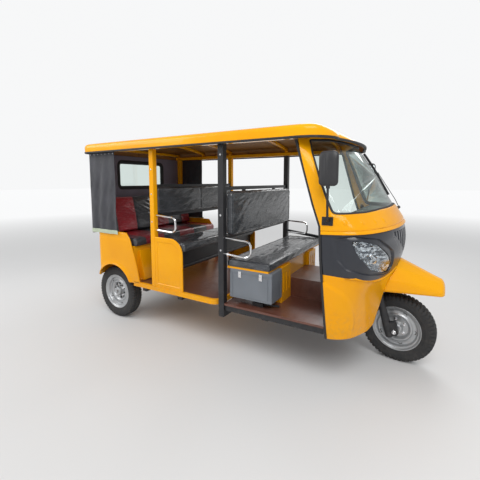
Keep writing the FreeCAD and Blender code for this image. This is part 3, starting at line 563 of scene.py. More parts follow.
# Corners (u, v, radius) joined by straight runs and arcs, as points a few millimetres apart.
def roundedLine(corners, closed=False, gap=0.006):
    corners = np.array(corners, float)
    places, radii = corners[:, :2], corners[:, 2]
    last = len(places) - 1
    run = []
    for i, (place, radius) in enumerate(zip(places, radii)):
        if radius == 0 or (not closed and i in (0, last)):
            run.append(place[None])
        else:
            run.append(bendArc(places[i - 1], place, places[(i + 1) % (last + 1)], radius, 9))
    run = np.concatenate(run + ([run[0][:1]] if closed else []))
    steps = np.linalg.norm(np.diff(run, axis=0), axis=1)
    counts = np.maximum(1, np.ceil(steps / gap).astype(int))
    pieces = [run[i] + (run[i + 1] - run[i]) * np.arange(n)[:, None] / n for i, n in enumerate(counts)]
    return np.concatenate(pieces + ([] if closed else [run[-1:]]))


def roundedBox(low, high, corner, gap):
    corners = [(low[0], low[1]), (high[0], low[1]), (high[0], high[1]), (low[0], high[1])]
    return roundedLine([place + (corner,) for place in corners], True, gap)


# A bent bar: straight runs joined by round bends, in three dimensions.
def bentPath(corners, bend, count=9):
    corners = np.array(corners, float)
    bends = [bendArc(*near, bend, count) for near in zip(corners[:-2], corners[1:-1], corners[2:])]
    return np.concatenate([corners[:1]] + bends + [corners[-1:]])


# A line of points read again at even steps of its length.
def evenLine(points, count, closed=False):
    points = np.asarray(points, float)
    if closed:
        points = np.concatenate([points, points[:1]])
    length = np.concatenate([[0], np.cumsum(np.linalg.norm(np.diff(points, axis=0), axis=1))])
    reads = np.linspace(0, length[-1], count + 1)[:-1] if closed else np.linspace(0, length[-1], count)
    return np.stack([np.interp(reads, length, points[:, i]) for i in range(points.shape[1])], -1)


# A profile of (across, up) points carried along a path. Every ring stands square to the path:
# point = path + across * (tangent x up) + up * (the rest), with up nearest to the given one.
def sweepPart(path, profile, up=(0, 0, 1), closed=False):
    path = np.asarray(path, float)
    profile = np.asarray(profile, float)
    if closed:
        tangent = np.roll(path, -1, 0) - np.roll(path, 1, 0)
    else:
        tangent = np.gradient(path, axis=0)
    tangent /= np.linalg.norm(tangent, axis=1, keepdims=True)
    side = np.cross(tangent, np.broadcast_to(np.asarray(up, float), path.shape))
    side /= np.linalg.norm(side, axis=1, keepdims=True)
    rise = np.cross(side, tangent)
    rings = path[:, None] + profile[None, :, :1] * side[:, None] + profile[None, :, 1:2] * rise[:, None]
    if closed:
        return gridPart(np.concatenate([rings, rings[:1]]), closed=True)
    return filledPart(rings)


def ringProfile(width, height=None, count=12):
    turn = np.linspace(0, 2 * math.pi, count, endpoint=False)
    return np.stack([np.cos(turn) * width / 2, np.sin(turn) * (height or width) / 2], -1)


# The unit axis and two ways square to it.
def crossWays(axis):
    axis = np.array(axis, float) / np.linalg.norm(axis)
    first = np.cross(axis, (0.31, 0.11, 0.95))
    first /= np.linalg.norm(first)
    return axis, first, np.cross(axis, first)


# A profile of (along, radius) turned about an axis: point = centre + along * axis
# + radius * (cos t * first + sin t * second).
def lathePart(profile, centre, axis, count=48):
    profile = np.asarray(profile, float)
    axis, first, second = crossWays(axis)
    turn = np.linspace(0, 2 * math.pi, count, endpoint=False)
    spokes = np.cos(turn)[:, None] * first + np.sin(turn)[:, None] * second
    points = np.asarray(centre) + profile[:, None, :1] * axis + profile[:, None, 1:2] * spokes
    return gridPart(points, closed=True)


# A round pin whose end narrows from radius to tip over the last stretch.
def pinPart(centre, axis, radius, length, narrow, tip, count):
    profile = [(0.0, 0.0), (0.0, radius), (length - narrow, radius), (length, tip), (length, 0.0)]
    return lathePart(profile, centre, axis, count)


# A hexagon head on its washer.
def hexPart(place, axis, width=0.017, height=0.008):
    profile = [(0.0, 0.0), (0.0, width * 0.75), (0.0018, width * 0.75), (0.0018, width * 0.577),
               (height * 0.8, width * 0.577), (height, width * 0.50), (height, 0.0)]
    return lathePart(profile, place, axis, 6)


def boxPart(low, high):
    low, high = np.array(low, float), np.array(high, float)
    pick = np.array([(0, 0, 0), (1, 0, 0), (1, 1, 0), (0, 1, 0), (0, 0, 1), (1, 0, 1), (1, 1, 1), (0, 1, 1)])
    faces = np.array([(0, 3, 2, 1), (4, 5, 6, 7), (0, 1, 5, 4), (1, 2, 6, 5), (2, 3, 7, 6), (3, 0, 4, 7)])
    return low + pick * (high - low), [faces]


# A flat outline of (u, v) points carried from one depth to another; place turns them into x, y, z.
def platePart(outline, start, end, place):
    outline = np.asarray(outline, float)
    return filledPart(np.stack([place(outline[:, 0], outline[:, 1], depth) for depth in (start, end)]))


def planeFrom(origin, first, second, out):
    return lambda u, v, depth: origin + u[:, None] * first + v[:, None] * second + depth * out


def sidePlace(x, z, y):
    return np.stack([x, y + 0 * x, z], -1)


def planPlace(x, y, z):
    return np.stack([x, y, z + 0 * x], -1)


def frontPlace(y, z, x):
    return np.stack([x + 0 * y, y, z], -1)


# The nose: plan sections of a bowed front, round corners and straight sides, that change
# smoothly with height. A place on it is (s, z): s is the way along the section from the
# centre line, positive to the left. Angle on the bow = s / bow radius, and on the corner
# = turn + (s - bow length) / corner radius. out moves a place outwards in plan.
nose = {
    "halfWidth": 0.680,
    # height, foremost x, bow radius, corner radius
    "rows": [
        (0.290, 1.200, 1.250, 0.220), (0.600, 1.228, 1.250, 0.220), (0.800, 1.292, 1.250, 0.220),
        (0.910, 1.319, 1.250, 0.220), (1.030, 1.320, 1.200, 0.220), (1.110, 1.302, 1.100, 0.220),
        (1.200, 1.250, 0.980, 0.220), (1.290, 1.191, 0.983, 0.194), (1.390, 1.133, 0.987, 0.166),
        (1.488, 1.076, 0.990, 0.138), (1.565, 1.028, 0.993, 0.115), (1.634, 0.981, 0.996, 0.096),
        (1.700, 0.933, 0.998, 0.077), (1.780, 0.880, 1.000, 0.055),
    ],
    # door edge: height, x
    "door": [(0.30, 0.922), (0.44, 0.912), (0.894, 0.870), (1.118, 0.859), (1.264, 0.809), (1.677, 0.689),
             (1.780, 0.659)],
    "wall": 0.009,
}
noseHeights, *noseTables = np.array(nose["rows"]).T
noseTip, noseBow, noseCorner = [smoothLine(noseHeights, table) for table in noseTables]


def noseShape(z):
    bow, corner = noseBow(z), noseCorner(z)
    turn = np.arcsin((nose["halfWidth"] - corner) / (bow - corner))
    bowX = noseTip(z) - bow
    return bow, corner, turn, bowX, bowX + (bow - corner) * np.cos(turn)


def nosePlace(s, z, out=0.0):
    s, z, out = np.broadcast_arrays(np.asarray(s, float), z, out)
    bow, corner, turn, bowX, cornerX = noseShape(z)
    way = np.abs(s)
    bowLength = bow * turn
    side = np.maximum(way - bowLength - corner * (math.pi / 2 - turn), 0)
    bend = np.minimum(turn + (way - bowLength) / corner, math.pi / 2)
    onBow = way < bowLength
    x = np.where(onBow, bowX + (bow + out) * np.cos(way / bow), cornerX + (corner + out) * np.cos(bend) - side)
    y = np.where(onBow, (bow + out) * np.sin(way / bow), nose["halfWidth"] - corner + (corner + out) * np.sin(bend))
    return np.stack([x, np.where(s < 0, -y, y), z], -1)


# The way straight out of the nose at a place on it.
def noseOut(s, z):
    along = nosePlace(s + 0.002, z) - nosePlace(s - 0.002, z)
    up = nosePlace(s, z + 0.002) - nosePlace(s, z - 0.002)
    away = np.cross(along, up)
    return away / np.linalg.norm(away, axis=-1, keepdims=True)


# The way along the section to a given x.
def noseWay(x, z):
    bow, corner, turn, bowX, cornerX = noseShape(z)
    onBow = bow * np.arccos(np.clip((x - bowX) / bow, -1, 1))
    onCorner = bow * turn + corner * (np.arccos(np.clip((x - cornerX) / corner, -1, 1)) - turn)
    onSide = bow * turn + corner * (math.pi / 2 - turn) + cornerX - x
    return np.where(x > bowX + bow * np.cos(turn), onBow, np.where(x > cornerX, onCorner, onSide))


def doorWay(z):
    table = np.array(nose["door"])
    return noseWay(np.interp(z, table[:, 0], table[:, 1]), z)


seams = {
    # way along from the centre, height
    "mask": [(0.0, 0.806), (0.10, 0.790), (0.20, 0.767), (0.31, 0.750), (0.43, 0.745), (0.55, 0.756),
             (0.657, 0.777), (0.733, 0.790), (0.82, 0.796), (0.91, 0.797)],
    "cowl": [(0.0, 1.100), (0.133, 1.096), (0.25, 1.090), (0.35, 1.086), (0.512, 1.081), (0.656, 1.078),
             (0.80, 1.073), (0.94, 1.066)],
}
maskSeam, cowlSeam = [smoothLine(*np.array(seams[name]).T) for name in ("mask", "cowl")]
# where the seams meet the door edge
(cowlEnd, cowlDoor), maskDoor = seams["cowl"][-1], seams["mask"][-1][1]
print("nose defined")

# Fairing: two halves, each from the door edge to the edge of the wheel opening, with a
# shallow crease, and a strip that joins them under the mask.
fairing = {
    "low": 0.360,
    # wheel opening: half width, height, corner radius
    "opening": [(0.430, 0.340, 0), (0.430, 0.358, 0), (0.330, 0.385, 0.05), (0.238, 0.515, 0.06),
                (0.208, 0.604, 0.016), (0.150, 0.614, 0), (0.150, 0.800, 0)],
    "stripLow": 0.775,
    # crease: way along, height
    "crease": [(0.870, 0.740), (0.810, 0.716), (0.741, 0.685), (0.686, 0.642), (0.648, 0.595), (0.614, 0.536),
               (0.597, 0.466), (0.605, 0.400)],
    "creaseDepth": 0.007,
    "creaseWidth": 0.030,
    "rows": 90,
    "columns": 120,
}


# Signed distance from an open line of (s, z) points, positive on its left as it runs.
def lineDistance(s, z, line):
    line = np.array(line)
    best = np.full(np.shape(s), 1e9)
    sign = np.ones(np.shape(s))
    for start, end in zip(line[:-1], line[1:]):
        run = end - start
        share = np.clip(((s - start[0]) * run[0] + (z - start[1]) * run[1]) / (run @ run), 0, 1)
        away = np.hypot(s - start[0] - share * run[0], z - start[1] - share * run[1])
        turn = run[0] * (z - start[1]) - run[1] * (s - start[0])
        nearer = away < best
        best = np.where(nearer, away, best)
        sign = np.where(nearer, np.sign(turn), sign)
    return best * sign


def makeFairing():
    rows, low = fairing["rows"], fairing["low"]
    edge = roundedLine(fairing["opening"], gap=0.004)
    edge = edge[edge[:, 1] >= low]
    edge[:, 0] = noseBow(edge[:, 1]) * np.arcsin(edge[:, 0] / noseBow(edge[:, 1]))
    edge = np.concatenate([edge, [(edge[-1, 0], seams["mask"][0][1])]])
    inner = evenLine(edge, rows)
    inner[-1, 1] = maskSeam(inner[-1, 0])
    lift = np.linspace(0, 1, rows)
    outerZ = low + (maskSeam(doorWay(maskDoor)) - low) * lift
    outer = np.stack([doorWay(outerZ), outerZ], -1)
    share = np.linspace(0, 1, fairing["columns"])[None, :, None]
    field = outer[:, None] * (1 - share) + inner[:, None] * share
    s, straight = field[..., 0], field[..., 1]
    # The top row follows the mask's seam, and the rows below bend less and less with it.
    top = maskSeam(s[-1])
    z = straight + ease(lift[:, None], 0.80, 1.0) * (top - straight[-1])
    half = fairing["creaseWidth"] / 2
    fade = ease(z, 0.36, 0.44) * ease(top - z, 0.0, 0.05)
    out = fairing["creaseDepth"] * ease(lineDistance(s, z, fairing["crease"]), -half, half) * fade
    across = np.linspace(-edge[-1, 0], edge[-1, 0], 25)[None]
    up = np.linspace(0, 1, 6)[:, None]
    strip = nosePlace(across, fairing["stripLow"] + (maskSeam(np.abs(across)) - fairing["stripLow"]) * up)
    parts = bothSides([gridPart(nosePlace(-s, z, out))]) + [gridPart(strip)]
    makePiece("fairingPanels", parts, "body_paint", takes=["front_fairing"], thick=nose["wall"])


makeFairing()

# Mask: on each side a panel around the headlamp, and a ribbed grille between them.
mask = {
    "grilleEdge": 0.20,
    # headlamp outline on the surface: way along, height, corner radius
    "lamp": [(0.760, 1.032, 0.012), (0.700, 1.038, 0.05), (0.560, 1.006, 0.09), (0.425, 0.926, 0.07),
             (0.326, 0.838, 0.03), (0.350, 0.788, 0.02), (0.440, 0.794, 0.05), (0.600, 0.842, 0.05),
             (0.716, 0.938, 0.06)],
    # outline of the pressed hollow around the lamp
    "hollow": [(0.880, 1.048, 0.030), (0.730, 1.070, 0.08), (0.530, 1.042, 0.12), (0.350, 0.938, 0.08),
               (0.286, 0.826, 0.04), (0.330, 0.776, 0.03), (0.420, 0.776, 0.05), (0.620, 0.808, 0.08),
               (0.780, 0.845, 0.08), (0.868, 0.915, 0.07)],
    "hollowDepth": 0.014,
    "centre": (0.560, 0.915),
    # way in of the lens, the reflector's rim and the bottom of its bowl
    "lens": 0.008,
    "bowl": (0.012, 0.062),
    "facetJog": 0.0045,
    # grille ribs: half count, pitch, height of both ends
    "slots": (6, 0.0527, 0.905, 1.070),
    "slotDepth": 0.016,
    # the grille's wings over the lamps: way along, height of the lower edge
    "wing": [(0.20, 0.900), (0.345, 1.030)],
}


# Reach of an outline from a centre at given angles, no further than a limit.
def polarReach(name, angle, limit):
    away = roundedLine(mask[name], True, 0.003) - mask["centre"]
    turns = np.arctan2(away[:, 1], away[:, 0])
    order = np.argsort(turns)
    return np.minimum(np.interp(angle, turns[order], np.hypot(*away.T)[order], period=2 * math.pi), limit)


# The edge of a side panel, once round from the grille's foot, without repeated corners.
def maskEdge():
    edge = mask["grilleEdge"]
    lowEnd, highEnd = float(doorWay(maskDoor)), float(doorWay(cowlDoor))
    (wingS, wingZ), (tipS, tipZ) = mask["wing"]
    bottom = np.linspace(edge, lowEnd, 50)
    door = np.linspace(maskSeam(lowEnd), cowlSeam(highEnd), 30)
    top = np.linspace(highEnd, tipS, 50)
    runs = [np.stack([bottom, maskSeam(bottom)], -1), np.stack([doorWay(door), door], -1),
            np.stack([top, cowlSeam(top)], -1), np.linspace((tipS, cowlSeam(tipS)), (tipS, tipZ), 8),
            np.linspace((tipS, tipZ), (wingS, wingZ), 20), np.linspace((edge, wingZ), (edge, maskSeam(edge)), 18)]
    return np.concatenate([run[:-1] for run in runs])


# Side panel, lens and reflector, all as rings about one centre on the surface:
# (s, z) = centre + reach * (cos, sin).
def maskPanel():
    centre = np.array(mask["centre"])
    away = maskEdge() - centre
    angle, reach = np.arctan2(away[:, 1], away[:, 0]), np.hypot(*away.T)
    hollow = polarReach("hollow", angle, reach - 0.008)
    lamp = polarReach("lamp", angle, hollow - 0.006)

    def at(radius, turn, out):
        return nosePlace(-centre[0] - radius * np.cos(turn), centre[1] + radius * np.sin(turn), out)

    def middle(out):
        return nosePlace(-centre[0], centre[1], out)

    inner = np.linspace(0, 1, 14)[:, None]
    outer = np.linspace(0, 1, 16)[1:, None]
    radius = np.concatenate([lamp + (hollow - lamp) * inner, hollow + (reach - hollow) * outer])
    sunk = -mask["hollowDepth"] * (0.35 + 0.65 * inner ** 1.5) * (1 - ease(inner, 0.82, 1.0))
    calm = ease(hollow - lamp, 0.010, 0.045)
    out = np.concatenate([sunk * calm, 0 * outer * calm])
    panel = at(radius, angle, out)
    lip = np.stack([at(radius[0], angle, out[0] - 0.012), panel[0]])
    rings = np.linspace(0, 1, 14)[1:, None]
    bulge = 0.006 * np.sqrt(np.clip(1 - rings ** 2, 0, 1))
    lens = at((lamp - 0.001) * rings, angle, bulge - mask["lens"])
    # The reflector has few rings and columns, jogged in depth so that its facets sparkle.
    facets = np.linspace(0, 1, 9)[1:, None]
    rim, bottom = mask["bowl"]
    turn = angle[::6]
    jog = np.random.default_rng(7).uniform(-1, 1, (len(facets), len(turn))) * mask["facetJog"] * (1 - facets ** 6)
    bowl = at(lamp[::6] * 0.985 * facets, turn, (rim - bottom) * (1 - facets ** 3) - rim + jog)
    panels = [gridPart(panel, closed=True), gridPart(lip, closed=True)]
    return panels, fannedPart(lens, middle(-0.002)), fannedPart(bowl, middle(-0.067))


# Grille: slots at an even pitch. inside and within are steep steps at a slot's sides and ends.
def slotted(s, z):
    half, pitch, slotLow, slotHigh = mask["slots"]
    inside = 1 - ease(np.abs(s - pitch * np.round(s / pitch)) / pitch, 0.20, 0.29)
    foot = slotLow + 0.62 * np.maximum(np.abs(s) - 0.09, 0)
    within = ease(z, foot - 0.012, foot + 0.004) * (1 - ease(z, slotHigh - 0.008, slotHigh))
    within = within * (1 - ease(np.abs(s), (half + 0.35) * pitch, (half + 0.45) * pitch))
    return nosePlace(s, z, -mask["slotDepth"] * inside * within)


def makeMask():
    panels, lens, bowl = maskPanel()
    edge = mask["grilleEdge"]
    (wingS, wingZ), (tipS, tipZ) = mask["wing"]
    s = np.linspace(-edge, edge, 161)[None]
    wing = np.linspace(wingS, tipS, 73)[None]
    lower = np.linspace(0, 1, 14)[:, None]
    upper = np.linspace(0, 1, 40)[:, None]
    bottom = maskSeam(np.abs(s))
    wingLow = wingZ + (wing - wingS) * (tipZ - wingZ) / (tipS - wingS)
    grille = [gridPart(slotted(s, bottom + (wingZ - bottom) * lower)),
              gridPart(slotted(s, wingZ + (cowlSeam(np.abs(s)) - wingZ) * upper))]
    wingPart = gridPart(slotted(-wing, wingLow + (cowlSeam(wing) - wingLow) * upper), flip=True)
    makePiece("maskPanels", bothSides(panels + [wingPart]) + grille, "mask_paint", takes=["front_mask"],
              thick=nose["wall"], sharp=50)
    makePiece("lampLenses", bothSides([lens]), "lamp_clear", takes=["headlamp_lenses"], thick=0.003)
    makePiece("lampBowls", bothSides([bowl]), "chrome_steel", takes=["headlamp_bodies"], finish=reflector, sharp=4)


makeMask()
print("nose panels made")

# Roof: over a plan outline lies the lower of a crown across and a profile along. The round
# shoulder is a quarter circle: z = top - radius * (1 - sin a), a way in of radius * (1 - cos a).
roof = {
    "rear": -1.600,
    "half": 0.741,
    "lip": 1.700,
    "crown": 1.862,
    "edge": 1.780,
    # x, height on the centre line
    "profile": [(-1.700, 1.756), (-1.550, 1.790), (-1.380, 1.868), (0.330, 1.868), (0.480, 1.858), (0.630, 1.836),
                (0.744, 1.808), (0.844, 1.776), (0.900, 1.750), (0.948, 1.724), (1.010, 1.690)],
    # plan of the visor: two arcs through x, y
    "visor": [(0.690, -0.741), (0.840, -0.696), (0.915, -0.500), (0.972, -0.250), (0.991, 0.0)],
    "corner": 0.090,
    "shoulder": 0.030,
    "lining": 0.012,
    # the rows run in to a line on the centre between these x
    "spine": (-0.90, 0.40),
    # edging that grips the lip: across, up
    "edging": [(0.0035, 0.009), (0.0035, -0.003), (0.001, -0.006), (-0.011, -0.006), (-0.014, -0.003),
               (-0.014, 0.009), (-0.0115, 0.009), (-0.0115, -0.001), (-0.0005, -0.001), (-0.0005, 0.009)],
    "columns": 560,
}


# The arc from the first to the third of three places, through the second.
def arcPoints(first, second, third, count):
    a, b, c = (complex(*place) for place in (first, second, third))
    w = (c - a) / (b - a)
    centre = a + (b - a) * (w - abs(w) ** 2) / (2j * w.imag)
    turns = np.unwrap([np.angle(place - centre) for place in (a, b, c)])
    turn = np.linspace(turns[0], turns[2], count)
    radius = abs(a - centre)
    return np.stack([centre.real + radius * np.cos(turn), centre.imag + radius * np.sin(turn)], -1)


def roofTop(x, y):
    crown = roof["crown"] - (roof["crown"] - roof["edge"]) * (y / roof["half"]) ** 2
    profile = np.interp(x, *np.array(roof["profile"]).T)
    low, gap = np.minimum(crown, profile), np.abs(crown - profile)
    return low - 0.006 * np.exp(-gap / 0.012)


def roofPlan():
    rear, half, corner, visor = roof["rear"], roof["half"], roof["corner"], roof["visor"]
    turn = np.linspace(math.pi, 1.5 * math.pi, 12)
    right = np.concatenate([
        np.stack([rear + corner + corner * np.cos(turn), -half + corner + corner * np.sin(turn)], -1),
        visor[:1], arcPoints(*visor[:3], 24), arcPoints(*visor[2:], 16)])
    return evenLine(np.concatenate([right, right[::-1] * (1, -1)]), roof["columns"], True)


def roofRings(inset, drop, low, rows):
    line = roofPlan()
    spine = np.stack([np.clip(line[:, 0], *roof["spine"]), 0 * line[:, 0]], -1)
    reach = np.linalg.norm(spine - line, axis=1)
    way = (spine - line) / reach[:, None]

    def top(place):
        return np.maximum(roofTop(place[:, 0], place[:, 1]), roof["lip"] + 0.008) - drop

    def at(depth, height):
        return np.concatenate([line + way * depth[:, None], height[:, None]], -1)

    edgeTop = top(line)
    bend = np.minimum(roof["shoulder"], (edgeTop - roof["lip"]) * 0.9)
    level = inset + 0 * bend
    rings = [at(level, low + (edgeTop - bend - low) * share) for share in (0, *np.linspace(0.15, 1, 4))]
    for turn in np.linspace(0, math.pi / 2, 8)[1:]:
        depth = inset + bend * (1 - math.cos(turn))
        rings.append(at(depth, top(line + way * depth[:, None]) - bend * (1 - math.sin(turn))))
    start = inset + bend
    for share in np.linspace(0, 1, rows)[1:]:
        depth = start + (reach - start) * share
        rings.append(at(depth, roofTop(*(line + way * depth[:, None]).T) - drop))
    return np.stack(rings)


def makeRoof():
    lip = roof["lip"]
    outer = roofRings(0.0, 0.0, lip, 30)
    inner = roofRings(0.012, roof["lining"], lip + 0.006, 24)
    inner = np.concatenate([inner[:1] + (0, 0, -0.006), inner])
    makePiece("roofShell", [gridPart(outer, closed=True)], "body_paint", takes=["roof_shell"], sharp=60)
    # The underside takes the yellow darkened as painted shade.
    makePiece("roofUnderside", [gridPart(inner, closed=True, flip=True)], "body_paint", finish=roofShadeFinish(),
              takes=["roof_shell"], sharp=60)
    edging = sweepPart(np.insert(roofPlan(), 2, lip, axis=1), roof["edging"], closed=True)
    makePiece("roofEdging", [edging], "black_rubber", solid=True)


makeRoof()

# Roof frame: square tubes with rounded edges under the roof, and the yellow posts.
roofBars = {
    "postY": (0.630, 0.680),
    # x from, x to, height from, height to
    "rail": (-1.560, 0.650, 1.702, 1.738),
    "posts": [(-0.710, -0.660, 0.450, 1.702), (-1.540, -1.490, 0.912, 1.702)],
    "bows": [-1.560, -1.135, -0.710, 0.040, 0.616],
    "bow": (0.034, 0.028),
    # bolts: x and heights on the post and the centre frame; x under the rail
    "postBolts": (-0.685, (1.30, 1.05, 1.52)),
    "frameBolts": (0.065, (1.15, 0.87, 1.62)),
    "railBolts": (-0.672, 0.078, -1.52),
}


def makeRoofFrame():
    inY, outY = roofBars["postY"]
    low, high = roofBars["rail"][2:]
    wide, deep = roofBars["bow"]
    right = [boxPart((rear, -outY, foot), (front, -inY, top))
             for rear, front, foot, top in [roofBars["rail"]] + roofBars["posts"]]
    right += [boxPart((x, -outY, high), (x + wide, -inY - 0.020, high + 0.035)) for x in roofBars["bows"]]
    parts = bothSides(right)
    section = np.array([(-1, -1), (1, -1), (1, 1), (-1, 1)]) * (wide / 2, deep / 2)
    y = np.linspace(-outY, outY, 41)
    for x in roofBars["bows"]:
        z = roofTop(x + wide / 2, y) - roof["lining"] - 0.002 - deep / 2
        parts.append(sweepPart(np.stack([0 * y + x + wide / 2, y, z], -1), section))
    makePiece("roofBars", parts, "body_paint", takes=["roof_frame"], solid=True, bevel=0.005)
    bolts = [hexPart((x, -inY - 0.025, low + 0.001), (0, 0, -1), 0.014, 0.008) for x in roofBars["railBolts"]]
    for (x, heights), width, height in ((roofBars["postBolts"], 0.010, 0.004), (roofBars["frameBolts"], 0.012, 0.005)):
        bolts += [hexPart((x, -outY - 0.0005, z), (0, -1, 0), width, height) for z in heights]
    makePiece("frameBolts", bothSides(bolts), "chrome_steel", solid=True)


makeRoofFrame()
print("roof made")

# Windscreen: the surround is a ring of (way, height) from the mask's seam, the door edges and
# the roof in to the opening. A groove runs over the seam and small stops stand on the cowl.
screen = {
    # right half of the opening: way along, height, corner radius
    "opening": [(0.0, 1.232, 0), (0.36, 1.215, 0.6), (0.53, 1.201, 0.4), (0.70, 1.197, 0.2), (0.787, 1.197, 0.022),
                (0.765, 1.330, 0.5), (0.749, 1.430, 0.5), (0.726, 1.520, 0.3), (0.700, 1.600, 0.2),
                (0.640, 1.702, 0.05), (0.437, 1.713, 0.4), (0.22, 1.706, 0.6), (0.0, 1.700, 0)],
    "corners": [(0.787, 1.197), (0.640, 1.702)],
    "middle": (0.0, 1.45),
    "top": 1.772,
    # height over the seam, width, depth
    "groove": (0.021, 0.0055, 0.004),
    "stops": [(0.748, 1.150), (0.634, 1.150), (0.511, 1.150), (0.413, 1.152)],
    # points along the bottom, the door edge and the top
    "counts": (110, 90, 80),
    "glassDepth": 0.006,
    # rubber section in millimetres: across, up
    "rubber": [(-14, -9), (-18, 0), (-17, 3.5), (-12, 6), (-4.5, 7), (-2.5, 4.5), (2.5, 4.5), (4.5, 7), (12, 6),
               (17, 3.5), (18, 0), (14, -9)],
}
# Rear window: half width, low, high and corner radius of its lines.
rearWindow = {
    "ring": (0.340, 1.341, 1.637, 0.047),
    "pane": (0.333, 1.348, 1.630, 0.040),
    "bead": (0.322, 1.359, 1.619, 0.030),
}


# The surround's outer and inner line, all round, with equal counts.
def openingRings():
    line = roundedLine(screen["opening"], gap=0.003)
    cuts = [int(np.argmin(np.hypot(*(line - corner).T))) for corner in screen["corners"]]
    inner = [evenLine(run, 400) for run in (line[:cuts[0] + 1], line[cuts[0]:cuts[1] + 1], line[cuts[1]:])]
    bottomCount, doorCount, topCount = screen["counts"]
    bottom = np.linspace(0, float(doorWay(cowlDoor)), 200)
    rise = np.linspace(0, 1, doorCount) ** 1.5
    door = cowlDoor + (screen["top"] - cowlDoor) * rise
    across = np.linspace(float(doorWay(screen["top"])), 0, 60)
    under = np.full(60, screen["top"])
    for _ in range(12):
        place = nosePlace(across, under)
        under = np.minimum(screen["top"], roofTop(place[:, 0], place[:, 1]) - 0.014)
    outer = [evenLine(np.stack([bottom, cowlSeam(bottom)], -1), bottomCount), np.stack([doorWay(door), door], -1),
             evenLine(np.stack([across, under], -1), topCount)]
    sideRun = np.stack([np.interp(rise * 399, np.arange(400), column) for column in inner[1].T], -1)
    inner = [evenLine(inner[0], bottomCount), sideRun, evenLine(inner[2], topCount)]
    half = [np.concatenate([part[:-1] for part in side[:-1]] + [side[-1]]) for side in (outer, inner)]
    return [np.concatenate([part, part[-2:0:-1] * (-1, 1)]) for part in half]


def windowLine(name, gap):
    half, low, high, corner = rearWindow[name]
    return roundedBox((-half, low), (half, high), corner, gap)


def makeScreen():
    outer, inner = openingRings()
    share = np.concatenate([np.linspace(0, 0.4, 17), np.linspace(0.4, 1, 15)[1:]])[:, None, None]
    ring = outer * (1 - share) + inner * share
    s, z = ring[..., 0], ring[..., 1]
    offset, width, depth = screen["groove"]
    above = z - cowlSeam(np.minimum(np.abs(s), cowlEnd))
    out = 0.003 * (1 - ease(above, 0.0, offset)) - depth * np.exp(-((above - offset) / width) ** 4)
    for way, height in screen["stops"]:
        out = out + 0.009 * (1 - ease(np.hypot((np.abs(s) - way) * 1.7, z - height), 0.002, 0.020))
    places = nosePlace(s, z, out - 0.004 * ease(share[..., 0], 0.93, 1.0))
    makePiece("screenSurround", [gridPart(places[::-1], closed=True)], "body_paint", takes=["screen_surround"],
              thick=nose["wall"], sharp=55)
    # The pane fills the opening, a little below the surface, and a rubber ring holds it.
    deep = -screen["glassDepth"]
    middle = np.array(screen["middle"])
    field = middle + (inner - middle) * np.linspace(1, 0, 26)[:-1, None, None]
    glass = flipPart(fannedPart(nosePlace(field[..., 0], field[..., 1], deep), nosePlace(*middle, deep)))
    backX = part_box("rear_wall")[0][0]
    pane = platePart(windowLine("pane", 0.02), backX + 0.007, backX + 0.011, frontPlace)
    makePiece("windowPanes", [glass, pane], "clear_glass", takes=["window_glass"])
    rubber = np.array(screen["rubber"]) / 1000
    rim, bead = windowLine("ring", 0.01).T, windowLine("bead", 0.01).T
    parts = [
        sweepPart(nosePlace(*inner.T)[::2], rubber, noseOut(*inner.T)[::2], closed=True),
        sweepPart(frontPlace(*rim, backX), rubber, (-1, 0, 0), closed=True),
        sweepPart(frontPlace(*bead, backX + 0.004), ringProfile(0.012, 0.014, 10), (-1, 0, 0), closed=True),
        sweepPart(frontPlace(*rim, backX + 0.020), rubber * (1, 0.8), (1, 0, 0), closed=True),
    ]
    makePiece("windowRubber", parts, "black_rubber", takes=["window_rubber"], solid=True)


makeScreen()

# Wiper: knob, hooked arm and a blade just over the pane.
wiper = {
    # way along, height
    "pivot": (0.25, 1.185),
    "elbow": (0.235, 1.245),
    "tip": (0.165, 1.470),
    "blade": [(0.205, 1.300), (0.120, 1.640)],
    # along, radius
    "knob": [(-0.004, 0.0), (-0.004, 0.018), (0.006, 0.018), (0.010, 0.013), (0.030, 0.012), (0.036, 0.009),
             (0.038, 0.0)],
    # blade section: across, up
    "rubber": [(-0.0015, -0.008), (-0.003, 0.002), (-0.006, 0.004), (-0.006, 0.008), (0, 0.012), (0.006, 0.008),
               (0.006, 0.004), (0.003, 0.002), (0.0015, -0.008)],
}


def makeWiper():
    def at(place, out):
        return nosePlace(*place) + noseOut(*place) * out

    axis = noseOut(*wiper["pivot"])
    knob = lathePart(wiper["knob"], at(wiper["pivot"], 0.0), axis, 24)
    path = bentPath([at(wiper["pivot"], 0.026), at(wiper["elbow"], 0.034), at(wiper["tip"], 0.020)], 0.02)
    arm = sweepPart(path, roundedBox((-0.006, -0.002), (0.006, 0.002), 0.001, 0.004), axis)
    line = np.linspace(*wiper["blade"], 24).T
    blade = sweepPart(at(line, 0.006), wiper["rubber"], noseOut(*line))
    tip = at(wiper["tip"], 0.012)
    saddle = boxPart(tip + (-0.009, -0.008, 0.0), tip + (0.009, 0.008, 0.012))
    makePiece("screenWiper", [knob, arm, blade, saddle], "dark_plastic", solid=True, bevel=0.001, steps=1)


makeWiper()
print("windscreen made")

